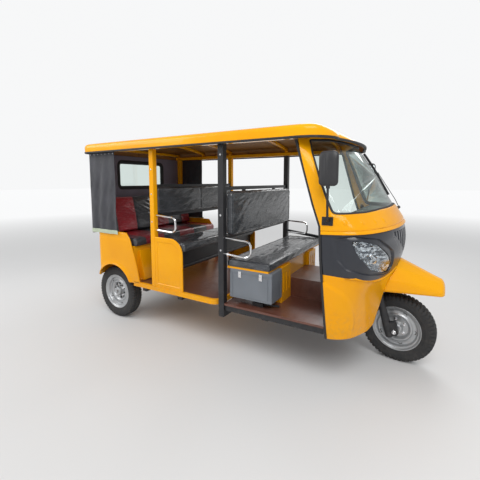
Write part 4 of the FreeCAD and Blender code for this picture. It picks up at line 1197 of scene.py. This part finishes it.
# Wheels: a tyre and a pressed disc wheel, turned about each wheel's own axis. along is the
# way out on the visible side.
wheel = {
    "tyreRadius": 0.268,
    "bead": (0.0445, 0.1702),
    "blocks": 54,
    "grooveDepth": 0.0075,
    # way out from the middle of the tread, and swing to each side
    "zigzag": (0.015, 0.004),
    "sideRings": (0.184, 0.196, 0.2, 0.204, 0.228),
    # count, circle, place along the axle, first angle
    "studs": (5, 0.060, 0.004, 0.2),
    "valve": (1, 0.140, 0.012, 0.9),
    "holes": (5, 0.124, 0.0130, 0.82),
    "slots": (10, 0.070, 0.0105, 0.1),
    # half section of the tyre, then the stem, the black dished discs that paint the shade seen through the holes
    # and the ring at the slots: along, radius
    "side": [(0.0500, 0.1760, 0.004), (0.0570, 0.205, 0.03), (0.0575, 0.236, 0.02), (0.0535, 0.2560, 0.010),
             (0.0420, 0.2660, 0.02), (0.0, 0.268, 0)],
    "stem": [(0.0, 0.0), (0.0, 0.0055), (0.012, 0.0055), (0.014, 0.0042), (0.026, 0.0042), (0.028, 0.003),
             (0.028, 0.0)],
    "dish": [(0.0, 0.0), (0.0006, 0.0125), (0.0022, 0.0145), (0.0008, 0.0165), (-0.002, 0.0165)],
    "slotRing": [(0.0055, 0.047), (0.0085, 0.050), (0.0085, 0.052), (0.0055, 0.054)],
}
# half section of the disc from the axle end out, with along measured from the hub's face, then
# from the disc, then back under the tyre: along, radius, corner radius
rim = {
    "hub": [(0.020, 0.0, 0), (0.020, 0.013, 0.003), (0.006, 0.016, 0.002), (0.0, 0.017, 0.002),
            (-0.001, 0.030, 0.004), (-0.006, 0.039, 0.004)],
    "face": [(0.012, 0.041, 0.004), (0.006, 0.045, 0.003), (0.004, 0.080, 0.006), (0.018, 0.090, 0.006),
             (0.026, 0.097, 0.006), (0.026, 0.106, 0.006), (0.016, 0.116, 0.010), (0.013, 0.134, 0.006),
             (0.016, 0.142, 0.004), (0.030, 0.147, 0.004), (0.037, 0.151, 0.004), (0.040, 0.160, 0.005),
             (0.0445, 0.1655, 0.003), (0.0500, 0.1700, 0.002), (0.0520, 0.1755, 0.0015), (0.0495, 0.1775, 0.001),
             (0.0445, 0.1700, 0)],
    "back": [(-0.0445, 0.1700, 0), (-0.0495, 0.1775, 0.001), (-0.0520, 0.1755, 0.0015), (-0.0440, 0.1640, 0.003),
             (-0.0380, 0.1500, 0.006), (0.006, 0.1400, 0.006), (0.006, 0.1200, 0.01), (0.016, 0.106, 0.006),
             (0.010, 0.090, 0.006), (-0.006, 0.080, 0.006), (-0.006, 0.042, 0.003), (-0.040, 0.038, 0.004),
             (-0.042, 0.0, 0)],
}
axleTilt = np.array([0.117988, 0.992546, 0.030514])
# name, body, centre, way out, the nodes replaced, reach of the hub
wheelPlaces = [
    ("front", "front_wheel", (1.299675, -0.005484, 0.267916), -axleTilt, "front_tyre", "front_rim", 0.055),
    ("rearLeft", "rear_wheel_left", (-1.3, 0.56, 0.268), (0, 1, 0), "rear_tyre_left", "rear_rim_left", 0.046),
    ("rearRight", "rear_wheel_right", (-1.3, -0.56, 0.268), (0, -1, 0), "rear_tyre_right", "rear_rim_right", 0.046),
]


# Tyre: the section swept round the axle. Grooves are cut where a zigzag line or a slanted
# cross cut is near; depth = depth * steep step of the distance to the nearest groove.
def tyreParts(centre, axis):
    axis, first, second = crossWays(axis)
    top, blocks = wheel["tyreRadius"], wheel["blocks"]
    line = evenLine(roundedLine([wheel["bead"] + (0,)] + wheel["side"], gap=0.003), 40)
    section = np.concatenate([line, line[-2::-1] * (-1, 1)])
    turn = np.linspace(0, 2 * math.pi, blocks * 6, endpoint=False)
    along = section[:, :1] + 0 * turn
    radius = section[:, 1:] + 0 * turn
    phase = turn * blocks / (2 * math.pi)
    ribWay, ribSwing = wheel["zigzag"]
    zigzag = ribSwing * (np.abs((phase + 0.25) % 1 - 0.5) * 4 - 1)
    nearRib = np.minimum(np.abs(along - ribWay - zigzag), np.abs(along + ribWay + zigzag))
    nearCut = np.abs((phase + along * 9 + 0.5) % 1 - 0.5) * 2 * math.pi * top / blocks
    shoulder = ease(np.abs(along), 0.017, 0.021) * ease(radius, 0.232, 0.240)
    crossCut = (1 - ease(nearCut, 0.0036, 0.0066)) * shoulder
    cut = np.maximum(1 - ease(nearRib, 0.0016, 0.0038), crossCut) * ease(radius, 0.230, 0.240)
    rings = sum(np.exp(-((radius - place) / 0.0012) ** 2) for place in wheel["sideRings"])
    radius = radius - wheel["grooveDepth"] * cut
    along = along * (1 - cut * 0.05) + np.sign(along) * rings * 0.0012
    spokes = np.cos(turn)[:, None] * first + np.sin(turn)[:, None] * second
    points = np.array(centre) + along[..., None] * axis + radius[..., None] * spokes
    half, bead = wheel["bead"]
    inner = lathePart([(-half, bead), (0.0, 0.168), (half, bead)], centre, axis, 96)
    return [gridPart(points, closed=True, flip=True), inner]


def rimPart(centre, axis, hub):
    front = [(hub + along, radius, bend) for along, radius, bend in rim["hub"]] + rim["face"]
    line = np.concatenate([roundedLine(front, gap=0.02), roundedLine(rim["back"], gap=0.05)])
    return lathePart(line, centre, axis, 56)


def makeWheels():
    slot = roundedBox((-0.013, -0.0065), (0.013, 0.0065), 0.006, 0.01)
    for name, body, centre, axis, tyreNode, rimNode, hub in wheelPlaces:
        way, first, second = crossWays(axis)
        makePiece(name + "Tyre", tyreParts(centre, axis), "tyre_rubber", body, [tyreNode], sharp=30, solid=True)
        makePiece(name + "Rim", [rimPart(centre, axis, hub)], "silver_rim", body, [rimNode], sharp=50, solid=True)

        # Places on a circle round the axle, each with its spoke.
        def around(count, circle, along, start):
            turn = start + np.arange(count) * 2 * math.pi / count
            spokes = np.cos(turn)[:, None] * first + np.sin(turn)[:, None] * second
            return zip(np.array(centre) + way * along + circle * spokes, spokes)

        nuts = [lathePart(wheel["stem"], place, way, 14) for place, spoke in around(*wheel["valve"])]
        for place, spoke in around(*wheel["studs"]):
            nuts += [hexPart(place, way, 0.019, 0.012), pinPart(place, way, 0.0052, 0.021, 0.0015, 0.0038, 14)]
        makePiece(name + "Nuts", nuts, "chrome_steel", body, sharp=40, solid=True)
        # Black dished discs at the holes: painted shade seen through them.
        holes = [lathePart(wheel["dish"], place, way, 28) for place, spoke in around(*wheel["holes"])]
        if body != "front_wheel":
            # The driven wheels show dark slots round the hub: black plates and a black ring paint the shade seen
            # through them.
            holes.append(lathePart(wheel["slotRing"], centre, way, 40))
            for place, spoke in around(*wheel["slots"]):
                holes.append(platePart(slot, -0.008, 0.001, planeFrom(place, spoke, np.cross(way, spoke), way)))
        makePiece(name + "HoleShades", holes, "black_rubber", body, sharp=60, solid=True)


makeWheels()
print("wheels made")

# Front mudguard: one open section that shrinks from root to tip; the tip turns down in a
# quarter round: x = start + radius * sin a, section size = 0.35 + 0.65 * cos a.
mudguard = {
    # half section: y, z, corner radius
    "root": [(0.0, 0.872, 0), (0.052, 0.866, 0.020), (0.150, 0.815, 0.022), (0.226, 0.702, 0.030),
             (0.226, 0.606, 0)],
    "tip": [(0.0, 0.680, 0), (0.026, 0.677, 0.010), (0.0603, 0.6595, 0.012), (0.0922, 0.612, 0.014),
            (0.0922, 0.5928, 0)],
    "rootX": 1.180,
    "tipX": 1.596,
    "tipRound": 0.034,
    "wall": 0.004,
    "rows": (36, 10),
}


def makeMudguard():
    root, tip = [evenLine(roundedLine(mudguard[end], gap=0.004), 34) for end in ("root", "tip")]
    start, bend = mudguard["rootX"], mudguard["tipRound"]
    length = mudguard["tipX"] - start
    # Where each point of the section leaves the nose: x = foremost x - sagitta of the bow.
    share = np.zeros(len(root))
    for _ in range(12):
        y, z = (root + (tip - root) * share[:, None]).T
        bow = noseBow(z)
        share = (noseTip(z) - bow + np.sqrt(bow ** 2 - y ** 2) - 0.003 - start) / length
    last = (length - bend) / length
    rows, turns = mudguard["rows"]
    straight = share + (last - share) * np.linspace(0, 1, rows)[:, None]
    shares = np.concatenate([straight, np.full((turns - 1, len(root)), last)])[..., None]
    angle = np.concatenate([np.zeros(rows), np.linspace(0, math.pi / 2, turns)[1:]])[:, None, None]
    half = root + (tip - root) * shares
    low = half[:, -1:, 1:]
    size = 0.35 + 0.65 * np.cos(angle)
    points = np.concatenate([start + shares * length + bend * np.sin(angle), half[..., :1] * size,
                             low + (half[..., 1:] - low) * size], -1)
    whole = np.concatenate([points[:, ::-1] * (1, -1, 1), points[:, 1:]], 1)
    sideRim = sweepPart(whole[:, -1] + (0, -0.001, 0), ringProfile(0.009, 0.012))
    frontRim = sweepPart(whole[-1, ::2], ringProfile(0.009, 0.009), up=(1, 0, 0))
    makePiece("mudguard", [gridPart(whole)], "body_paint", takes=["front_mudguard"], thick=mudguard["wall"], sharp=50)
    makePiece("mudguardRim", bothSides([sideRim]) + [frontRim], "body_paint")


makeMudguard()
print("mudguard made")

# Rear tub: side, round corner and rear wall as one sheet. Columns run along the wall from the
# slanted front edge; a column starts at the wheel arch, z = arch height + root(r^2 - x^2), or
# at the sill. The arch edge swells outwards: out = swell * (1 - (r - arch) / band)^2.
tub = {
    "half": 0.680,
    "rear": -1.520,
    "corner": 0.100,
    "sill": 0.440,
    "top": 0.912,
    # front edge: x, z
    "front": [(-0.880, 0.440), (-0.929, 0.645), (-0.977, 0.786), (-1.000, 0.850), (-1.045, 0.912)],
    "arch": (-1.240, 0.326, 0.262),
    "swell": 0.014,
    "band": 0.045,
    # pressed line under the rail: heights of its edges, depth
    "line": (0.846, 0.856, 0.868, 0.878, 0.003),
    # columns of the side, the corner and the rear wall
    "columns": (100, 13, 12),
    "rows": 46,
    # x, z, corner radius; y of both faces
    "gusset": [(-0.964, 0.740, 0.004), (-0.950, 0.735, 0.006), (-0.884, 0.452, 0.008), (-0.964, 0.452, 0)],
    "gussetFaces": (0.460, 0.600),
}


def tubPoints():
    archX, archZ, reach = tub["arch"]
    cornerX = tub["rear"] + tub["corner"]
    corner = tub["corner"] * math.pi / 2
    back = tub["half"] - tub["corner"]
    frontX = smoothLine(*np.array(tub["front"]).T[::-1])
    side, bent, rear = tub["columns"]
    share = np.concatenate([np.linspace(0, 1, side), 1 + np.linspace(0, 1, bent)[1:], 2 + np.linspace(0, 1, rear)[1:]])
    share = share[:, None]

    def way(z):
        along = frontX(z) + np.clip(share, 0, 1) * (cornerX - frontX(z))
        return along - np.clip(share - 1, 0, 1) * corner - np.clip(share - 2, 0, 1) * back

    low = np.full(share.shape, tub["sill"])
    for _ in range(40):
        across = way(low) - archX
        arch = archZ + np.sqrt(np.maximum(reach ** 2 - across ** 2, 0))
        low = 0.5 * low + 0.5 * np.where(np.abs(across) < reach, np.maximum(arch, tub["sill"]), tub["sill"])
    z = low + np.linspace(0, 1, tub["rows"])[None] ** 1.25 * (tub["top"] - low)
    w = way(z)
    far = np.hypot(w - archX, z - archZ)
    lowFoot, lowEdge, highEdge, highFoot, depth = tub["line"]
    out = tub["swell"] * np.clip(1 - (far - reach) / tub["band"], 0, 1) ** 2
    out = out - depth * ease(z, lowFoot, lowEdge) * (1 - ease(z, highEdge, highFoot))
    turn = np.clip((cornerX - w) / corner, 0, 1) * math.pi / 2
    past = np.clip(cornerX - w - corner, 0, None)
    x = np.maximum(w, cornerX) - np.sin(turn) * (tub["corner"] + out * (turn > 0))
    y = back + np.cos(turn) * tub["corner"] + np.where(turn == 0, out, out * np.cos(turn)) - past
    return np.stack([x, y, z], -1)


def makeTub():
    points = tubPoints()
    lip = sweepPart(points[:, 0] + (0, -0.002, 0.0), ringProfile(0.011, 0.009))
    flange = sweepPart(points[0] + (0.002, -0.004, 0), ringProfile(0.014, 0.012), up=(0, 1, 0))
    rail = sweepPart(points[:, -1] + (0, -0.005, 0.002), ringProfile(0.018, 0.012))
    gusset = platePart(roundedLine(tub["gusset"], True, 0.02), *tub["gussetFaces"], sidePlace)
    makePiece("rearTub", bothSides([gridPart(points, flip=True)]), "body_paint", takes=["rear_tub"], thick=0.010,
              sharp=50)
    makePiece("tubEdges", bothSides([lip, flange, rail]), "body_paint", sharp=50)
    makePiece("tubGussets", bothSides([gusset]), "body_paint", solid=True, bevel=0.003)


makeTub()

# Side panels beside the middle bench: a pressed plate with a rolled bead on its free edges.
sidePanel = {
    "outline": [(-0.660, 0.450, 0), (-0.350, 0.450, 0), (-0.350, 0.905, 0.130), (-0.660, 0.905, 0)],
    "middle": (-0.505, 0.665),
    "inner": 0.656,
    "outer": 0.676,
    # the pressed face: share of the outline, step out
    "steps": [(1.0, 0.0), (0.86, 0.0), (0.84, -0.004), (0.5, -0.005), (0.02, -0.004)],
    "bead": 0.017,
    "beadY": 0.668,
}


def makeSidePanels():
    line = evenLine(roundedLine(sidePanel["outline"], True, 0.006), 160, True)
    middle = np.array(sidePanel["middle"])

    def ring(share, y):
        return np.insert(middle + (line - middle) * share, 1, y, axis=1)

    rings = [ring(0.02, sidePanel["inner"]), ring(1.0, sidePanel["inner"])]
    rings += [ring(share, sidePanel["outer"] + out) for share, out in sidePanel["steps"]]
    free = roundedLine([(-0.350, 0.452, 0)] + sidePanel["outline"][2:], False, 0.008)
    bead = sweepPart(np.insert(free, 1, sidePanel["beadY"], axis=1), ringProfile(sidePanel["bead"]), up=(0, 1, 0))
    makePiece("sidePanels", bothSides([gridPart(np.stack(rings), closed=True)]), "body_paint", takes=["side_panels"],
              sharp=35, solid=True)
    makePiece("sidePanelBeads", bothSides([bead]), "body_paint")


makeSidePanels()
print("rear body made")

# Cushions: rings run from the underside up a swollen side, over a rounded rim and in to the
# crown. crown = height * (1 - (u / a)^4) * (1 - (v / b)^4), and shallow folds of the loose film
# are sums of slanted waves. place turns local (u, v, height) into the shared frame.
# name: node, corner, crown, fold depth, sewn channels (places along v)
pads = {
    "rearCushion": ("rear_cushion", 0.022, 0.012, 0.0022, (-0.217, 0.217)),
    "middleCushion": ("middle_cushion", 0.022, 0.010, 0.0022, (0.0,)),
    "driverCushion": ("driver_cushion", 0.020, 0.010, 0.0022, (0.0,)),
    "middleBackrest": ("middle_backrest", 0.030, 0.006, 0.0026, (0.0,)),
    "driverBackrest": ("driver_backrest", 0.040, 0.007, 0.0026, ()),
    "rearBackrest": ("rear_backrest", 0.020, 0.010, 0.0024, (-0.52, -0.27, -0.02, 0.23, 0.48)),
}
# the rear face of the sloping backrest: foot x, z; head x, z; thickness
backPlane = ((-1.400, 0.868), (-1.4757, 1.236), 0.060)
padShape = {
    "rim": 0.016,
    "sideSwell": 0.0035,
    "channel": (0.006, 0.0055),
    "waves": 9,
    "piping": 0.0065,
    # the row of the rings that the piping follows
    "seamRow": 14,
    # lean of the folds on seats and on backs
    "lean": (0.3, 0.35),
}


def padRings(a, b, thick, corner, crown, wave, channels, seed, lean):
    rim = min(padShape["rim"], thick * 0.32)
    deep = min(a, b)
    rows = [(0.004, 0.0), (0.0, 0.004)]
    for share in np.linspace(0.1, 1, 6):
        rows.append((-padShape["sideSwell"] * math.sin(math.pi * share), 0.004 + share * (thick - rim - 0.006)))
    for turn in np.linspace(0, math.pi / 2, 7):
        rows.append((rim * (1 - math.cos(turn)), thick - rim + rim * math.sin(turn)))
    rows += [(rim + (deep - rim) * share, thick) for share in np.linspace(0, 0.97, 26)[1:] ** 1.1]
    rings = []
    for inset, height in rows:
        bend = max(corner - inset, corner * 0.25) * max(0.02, 1 - inset / deep)
        outline = roundedBox((a - inset, b - inset), (inset - a, inset - b), bend, 0.01)
        rings.append(np.insert(evenLine(outline, 200, True), 2, height, axis=1))
    rings = np.stack(rings)
    u, v, h = rings[..., 0], rings[..., 1], rings[..., 2]
    top = ease(h, thick - rim - 0.002, thick)
    swell = crown * np.clip(1 - (u / a) ** 4, 0, 1) * np.clip(1 - (v / b) ** 4, 0, 1)
    random = np.random.default_rng(seed)
    folds = 0
    for _ in range(padShape["waves"]):
        angle = random.uniform(-0.5, 0.5) + lean
        pitch = random.uniform(0.05, 0.16)
        phase = (u * math.cos(angle) + v * math.sin(angle)) / pitch * 2 * math.pi + random.uniform(0, 6)
        slow = np.sin(v * random.uniform(5, 11) + u * random.uniform(4, 9) + random.uniform(0, 6))
        folds = folds + np.sin(phase + 1.2 * slow) ** 3 * (0.5 + 0.5 * slow) / 3
    width, depth = padShape["channel"]
    sewn = sum((np.exp(-((v - line) / width) ** 2) for line in channels), np.zeros_like(v))
    rings[..., 2] = h + top * (swell + wave * folds - depth * np.clip(sewn, 0, 1))
    side = (1 - top) * ease(h, 0.002, 0.02)
    push = side * wave * 0.5 * np.sin(40 * (u - v) + 9 * h / thick + seed)
    rings[..., 0] = u + push * np.sign(u) * (np.abs(u) > a - 0.03)
    return rings


# Half sizes, thickness, middle of the underside and the three ways of a pad, from its node's box.
def padFrame(node):
    low, high = np.array(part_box(node))
    middle, half = (low + high) / 2, (high - low) / 2
    across = np.array([0, 1, 0])
    if node == "rear_backrest":
        (footX, footZ), (headX, headZ), thick = backPlane
        up = np.array([headX - footX, 0, headZ - footZ])
        length = np.linalg.norm(up)
        up /= length
        centre = np.array([(headX + footX) / 2, 0, (headZ + footZ) / 2])
        return length / 2, half[1], thick, centre, up, across, np.array([up[2], 0, -up[0]])
    if half[0] < half[2]:
        centre = np.array([low[0], middle[1], middle[2]])
        return half[2], half[1], 2 * half[0], centre, np.array([0, 0, -1]), across, np.array([1, 0, 0])
    centre = np.array([middle[0], middle[1], low[2]])
    return half[0], half[1], 2 * half[2], centre, np.array([1, 0, 0]), across, np.array([0, 0, 1])


def makePads():
    for seed, (name, (node, *shape)) in enumerate(pads.items()):
        a, b, thick, centre, *ways = padFrame(node)
        lean = padShape["lean"][node.endswith("backrest")]
        rings = padRings(a, b, thick, *shape, seed, lean)
        ways = np.array(ways, float)
        slot = nodeSlot[node]
        piece = makePiece(name, [filledPart(centre + rings @ ways)], slot, takes=[node], sharp=70, solid=True)
        seam = centre + (rings[padShape["seamRow"]] + (0, 0, 0.0006)) @ ways
        piping = sweepPart(seam, ringProfile(padShape["piping"], count=8), up=(0.01, 0.02, 1), closed=True)
        makePiece(name + "Piping", [piping], slot, solid=True)


makePads()
print("cushions made")

# Curtains: the cloth hangs from the roof rail. fold = depth * (waves and slanted creases *
# a hold that is least at the rail + 1/2); the waves run along x and lean towards the hem.
curtain = {
    "front": -1.160,
    "back": -1.542,
    "top": 1.700,
    "low": 0.925,
    "hemLow": 0.895,
    "hemBack": -1.145,
    "hemLap": 0.008,
    # height and pitch of the sewn lines in the hem
    "hemLines": (0.0016, 0.0155),
    "face": 0.6865,
    "depth": 0.0075,
    "rivets": 7,
    "rivetZ": 1.684,
}


def curtainFold(x, z):
    down = (curtain["top"] - z) / (curtain["top"] - curtain["hemLow"])
    lean = x + 0.06 * down + 0.012 * np.sin(7 * z)
    wave = np.sin(lean * 52 + 1.1) * 0.45 + np.sin(lean * 31 + z * 3.1) * 0.35
    crease = np.sin((x * 0.9 + z * 0.55) * 27) ** 3 * 0.22 + np.sin((x * 1.3 - z * 0.5) * 21 + 1.4) ** 5 * 0.25
    hold = 0.35 + 0.65 * ease(down, 0.0, 0.5)
    return curtain["depth"] * (0.9 * (wave + crease) * hold + 0.5)


def curtainSheet(back, front, top, low, columns, rows):
    x, z = np.meshgrid(np.linspace(back, front, columns), np.linspace(top, low, rows))
    return np.stack([x, curtain["face"] + curtainFold(x, z), z], -1)


def makeCurtains():
    back, low = curtain["back"], curtain["low"]
    sheet = curtainSheet(back, curtain["front"], curtain["top"], low, 60, 90)
    hem = curtainSheet(back, curtain["hemBack"], low + curtain["hemLap"], curtain["hemLow"], 90, 16)
    height, pitch = curtain["hemLines"]
    hem[..., 1] += 0.0024 + height * np.sin(hem[..., 2] * 2 * math.pi / pitch) ** 2
    both = [gridPart(sheet), gridPart(hem)]
    for side, (sheetPart, hemPart) in (("Left", both), ("Right", map(mirrorPart, both))):
        trim = makePiece("curtainHem" + side, [hemPart], "tarpaulin", finish=hemCloth, thick=0.0012, sharp=60)
        takes = ["curtains"] if side == "Left" else []
        cloth = makePiece("curtain" + side, [sheetPart], "tarpaulin", takes=takes, thick=0.0014, sharp=60)
    x = np.linspace(back + 0.020, curtain["front"] - 0.018, curtain["rivets"])
    y = curtain["face"] + curtainFold(x, curtain["rivetZ"])
    dome = [(-0.002, 0.0052), (0.0010, 0.0052), (0.0030, 0.0034), (0.0036, 0.0)]
    rivets = [lathePart(dome, (x[i], y[i], curtain["rivetZ"]), (0, 1, 0), 16) for i in range(len(x))]
    makePiece("curtainRivets", bothSides(rivets), "chrome_steel", solid=True)


makeCurtains()
print("curtains hung")

# Mirrors: a shell with a long ridge on its outer face, a rim, and the glass on the inner face.
# Depth of the outer face = root(1 - share of the outline^3.2), with the ridge added.
mirror = {
    # x and z of the middle, half sizes, corner, y of the rim and the outer face
    "middle": (0.9255, 1.4925),
    "half": (0.0590, 0.1070),
    "corner": 0.034,
    "rim": 0.778,
    "outer": 0.803,
    "ridge": 0.004,
    # share of the outline, y
    "back": [(0.02, 0.766), (0.90, 0.766), (0.905, 0.7605), (0.955, 0.7600), (0.985, 0.7640), (1.0, 0.770)],
    "glass": [(0.02, 0.7635), (0.5, 0.7637), (0.885, 0.7650)],
    "clamp": (0.925, 0.780, 1.370),
    # middle of the foot, and its screws from another place on it
    "foot": (0.904, 0.690, 1.152),
    "screwsFrom": (0.904, 0.692, 1.158),
    "screws": [(-0.024, 0.014), (0.024, 0.014), (-0.024, -0.020), (0.024, -0.020)],
}


def makeMirrors():
    a, b = mirror["half"]
    bend = mirror["corner"]
    outline = [(a, b, bend), (-a, b, bend), (-a, -b, bend * 0.8), (a, -b, bend * 0.8)]
    line = evenLine(roundedLine(outline, True, 0.004), 120, True)
    midX, midZ = mirror["middle"]

    def ring(share, y):
        return np.stack([midX + line[:, 0] * share, y + 0 * line[:, 0], midZ + line[:, 1] * share], -1)

    shell = []
    for share in np.concatenate([np.linspace(1, 0.93, 4), np.linspace(0.9, 0.02, 22)]):
        u, v = line.T * share
        ridge = mirror["ridge"] * np.exp(-((u + 0.012) / 0.010) ** 2) * np.clip(1 - (v / b) ** 2, 0, 1)
        deep = mirror["outer"] - mirror["ridge"] - mirror["rim"]
        shell.append(ring(share, mirror["rim"] + deep * math.sqrt(1 - share ** 3.2) + ridge))
    housing = gridPart(np.stack([ring(*row) for row in mirror["back"]] + shell), closed=True)
    glass = gridPart(np.stack([ring(*row) for row in mirror["glass"]]), closed=True)
    makePiece("mirrorHousings", bothSides([housing]), "dark_plastic", takes=["mirror_housings"], sharp=40, solid=True)
    makePiece("mirrorGlass", bothSides([glass]), "chrome_steel", finish=mirrorGlass)
    parts = [pinPart(mirror["clamp"], (0, 0, 1), 0.0125, 0.030, 0.002, 0.0105, 20)]
    parts.append(lathePart([(0.0, 0.0), (0.0, 0.0155), (0.008, 0.0150), (0.012, 0.0110), (0.012, 0.0)],
                           mirror["foot"], (0, 1, 0), 24))
    for x, z in mirror["screws"]:
        parts.append(hexPart(np.array(mirror["screwsFrom"]) + (x, 0, z), (0, 1, 0), 0.012, 0.005))
    makePiece("mirrorClamps", bothSides(parts), "black_steel", solid=True)


makeMirrors()

# Front fork: two telescopic legs beside the wheel. along runs up the raked legs, across is
# the wheel's own axle and ahead is square to both.
fork = {
    "foot": (1.256433, 0.0, 0.256733),
    "up": (-0.25038, 0.0, 0.968148),
    "ahead": (0.968148, 0.0, 0.25038),
    "turn": -7,
    "half": 0.108,
    "reach": 0.045,
    # along, radius, corner radius
    "leg": [(-0.046, 0.0, 0), (-0.046, 0.014, 0.004), (-0.036, 0.0270, 0.008), (0.040, 0.0300, 0.004),
            (0.120, 0.0300, 0.01), (0.180, 0.0262, 0.01), (0.306, 0.0262, 0.002), (0.310, 0.0282, 0.002),
            (0.334, 0.0282, 0.002), (0.349, 0.0240, 0.003), (0.352, 0.0195, 0.001), (0.352, 0.0, 0)],
    "dustSeal": [(0.350, 0.0, 0), (0.350, 0.0205, 0.002)]
                + [(0.352 + 0.006 * i, 0.0212 - 0.002 * (i % 2), 0.001) for i in range(7)]
                + [(0.392, 0.0185, 0.002), (0.394, 0.0, 0)],
    "tube": [(0.33, 0.0), (0.33, 0.0165), (0.535, 0.0165), (0.535, 0.0)],
    # ahead of the axle, along, corner radius
    "lug": [(0.028, -0.030, 0.026), (-0.030, -0.030, 0.026), (-0.030, 0.078, 0.020), (0.028, 0.078, 0.020)],
    "lugHalf": 0.016,
}


# The ways along, across and ahead as rows.
def forkWays():
    turn = math.radians(fork["turn"])
    up, way = np.array(fork["up"]), np.array(fork["ahead"])
    side = np.cross(up, way)
    return np.array([up, side * math.cos(turn) - way * math.sin(turn), way * math.cos(turn) + side * math.sin(turn)])


def forkPlace(along, across, ahead):
    return np.array(fork["foot"]) + np.array([along, across, ahead]) @ forkWays()


def makeFork():
    up, axle, ahead = forkWays()
    legs, bright, ends = [], [], []
    lug = roundedLine(fork["lug"], True, 0.01)
    for side in (-1, 1):
        place = forkPlace(0, side * fork["half"], 0)
        legs.append(lathePart(roundedLine(fork["leg"], gap=0.03), place, up, 32))
        legs.append(lathePart(roundedLine(fork["dustSeal"], gap=0.03), place, up, 24))
        lugMiddle = forkPlace(0, side * fork["half"], fork["reach"])
        legs.append(platePart(lug, -fork["lugHalf"], fork["lugHalf"], planeFrom(lugMiddle, ahead, up, axle)))
        end = forkPlace(0, side * (fork["half"] + 0.015), fork["reach"])
        ends.append(hexPart(end, axle * side, 0.030, 0.012))
        ends.append(pinPart(end, axle * side, 0.0085, 0.024, 0.002, 0.0065, 20))
        bright.append(lathePart(fork["tube"], place, up, 28))
    makePiece("forkLegs", legs, "black_steel", "steering", sharp=40, solid=True)
    makePiece("forkTubes", bright, "chrome_steel", "steering", solid=True)
    makePiece("axleNuts", ends, "chrome_steel", "steering", sharp=35, solid=True)


makeFork()

# Tool box: corner strips, a lid with a rolled lip, a pressed front and two catches.
toolBox = {
    "strip": 0.022,
    "stripWall": 0.0005,
    "lid": 0.026,
    "proud": 0.003,
    # rim round the pressed front
    "margin": (0.010, 0.016),
    "catchWay": 0.09,
    # half width, way out of both faces, way down from the lid of both ends
    "catch": [(0.013, 0.0075, 0.002, 0.062, 0.012), (0.008, 0.0110, 0.006, 0.052, 0.034)],
}


def makeToolBox():
    low, high = np.array(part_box("tool_box"))
    strip, wall, proud = toolBox["strip"], toolBox["stripWall"], toolBox["proud"]
    lidLow = high[2] - toolBox["lid"]
    angle = [(-proud, -proud, 0.004), (strip, -proud, 0), (strip, wall, 0), (wall, wall, 0), (wall, strip, 0),
             (-proud, strip, 0)]
    parts, catches = [], []
    for x, signX in ((low[0], 1), (high[0], -1)):
        for y, signY in ((low[1], 1), (high[1], -1)):
            corner = [(x + signX * u, y + signY * v, bend) for u, v, bend in angle]
            parts.append(platePart(roundedLine(corner, True, 0.02), low[2] + 0.004, lidLow - 0.003, planPlace))
    lid = roundedBox(low[:2] - proud, high[:2] + proud, 0.010, 0.02)
    parts.append(platePart(lid, lidLow, high[2] + 0.002, planPlace))
    marginX, marginZ = toolBox["margin"]
    face = roundedBox((low[0] + strip + marginX, low[2] + marginZ), (high[0] - strip - marginX, lidLow - marginZ),
                      0.008, 0.02)
    parts.append(platePart(face, low[1] - 0.0025, low[1] + 0.001, sidePlace))
    for x in (low[0] + toolBox["catchWay"], high[0] - toolBox["catchWay"]):
        for half, out, base, down, up in toolBox["catch"]:
            catches.append(boxPart((x - half, low[1] - out, high[2] - down), (x + half, low[1] - base, high[2] - up)))
    makePiece("toolBoxTrim", parts, "grey_box", solid=True, bevel=0.0015)
    makePiece("toolBoxCatches", catches, "chrome_steel", solid=True, bevel=0.0012)


makeToolBox()

# Handlebar fittings: ribbed grips, lever holders and levers.
handlebar = {
    "height": 0.801,
    # end of the bar and its bend, from the clamp: up, across, ahead
    "end": (0.025, 0.345, -0.150),
    "bend": (0.030, 0.170, -0.060),
    # along from the end, radius
    "grip": [(-0.004, 0.0), (-0.004, 0.0185)] + [(0.002 + 0.005 * i, 0.0165 - 0.0012 * (i % 2)) for i in range(22)]
            + [(0.114, 0.0205), (0.119, 0.0205), (0.119, 0.0)],
    # along from the end, ahead
    "lever": [(0.140, 0.012), (0.128, 0.048), (0.070, 0.056), (0.005, 0.050)],
}


def makeHandlebar():
    rubber, levers = [], []
    ahead = forkWays()[2]
    for side in (-1, 1):
        end, bend = [forkPlace(handlebar["height"] + up, side * across, way)
                     for up, across, way in (handlebar["end"], handlebar["bend"])]
        way = (bend - end) / np.linalg.norm(bend - end)
        rubber.append(lathePart(handlebar["grip"], end, way, 24))
        rubber.append(pinPart(end + way * 0.124, way, 0.019, 0.040, 0.004, 0.016, 20))
        corners = [end + way * along + ahead * out for along, out in handlebar["lever"]]
        levers.append(sweepPart(bentPath(corners, 0.010, 6), ringProfile(0.010, 0.007, 10), up=fork["up"]))
    makePiece("handlebarGrips", rubber, "black_rubber", "steering", solid=True)
    makePiece("handlebarLevers", levers, "black_steel", "steering", solid=True)


makeHandlebar()
print("fittings made")
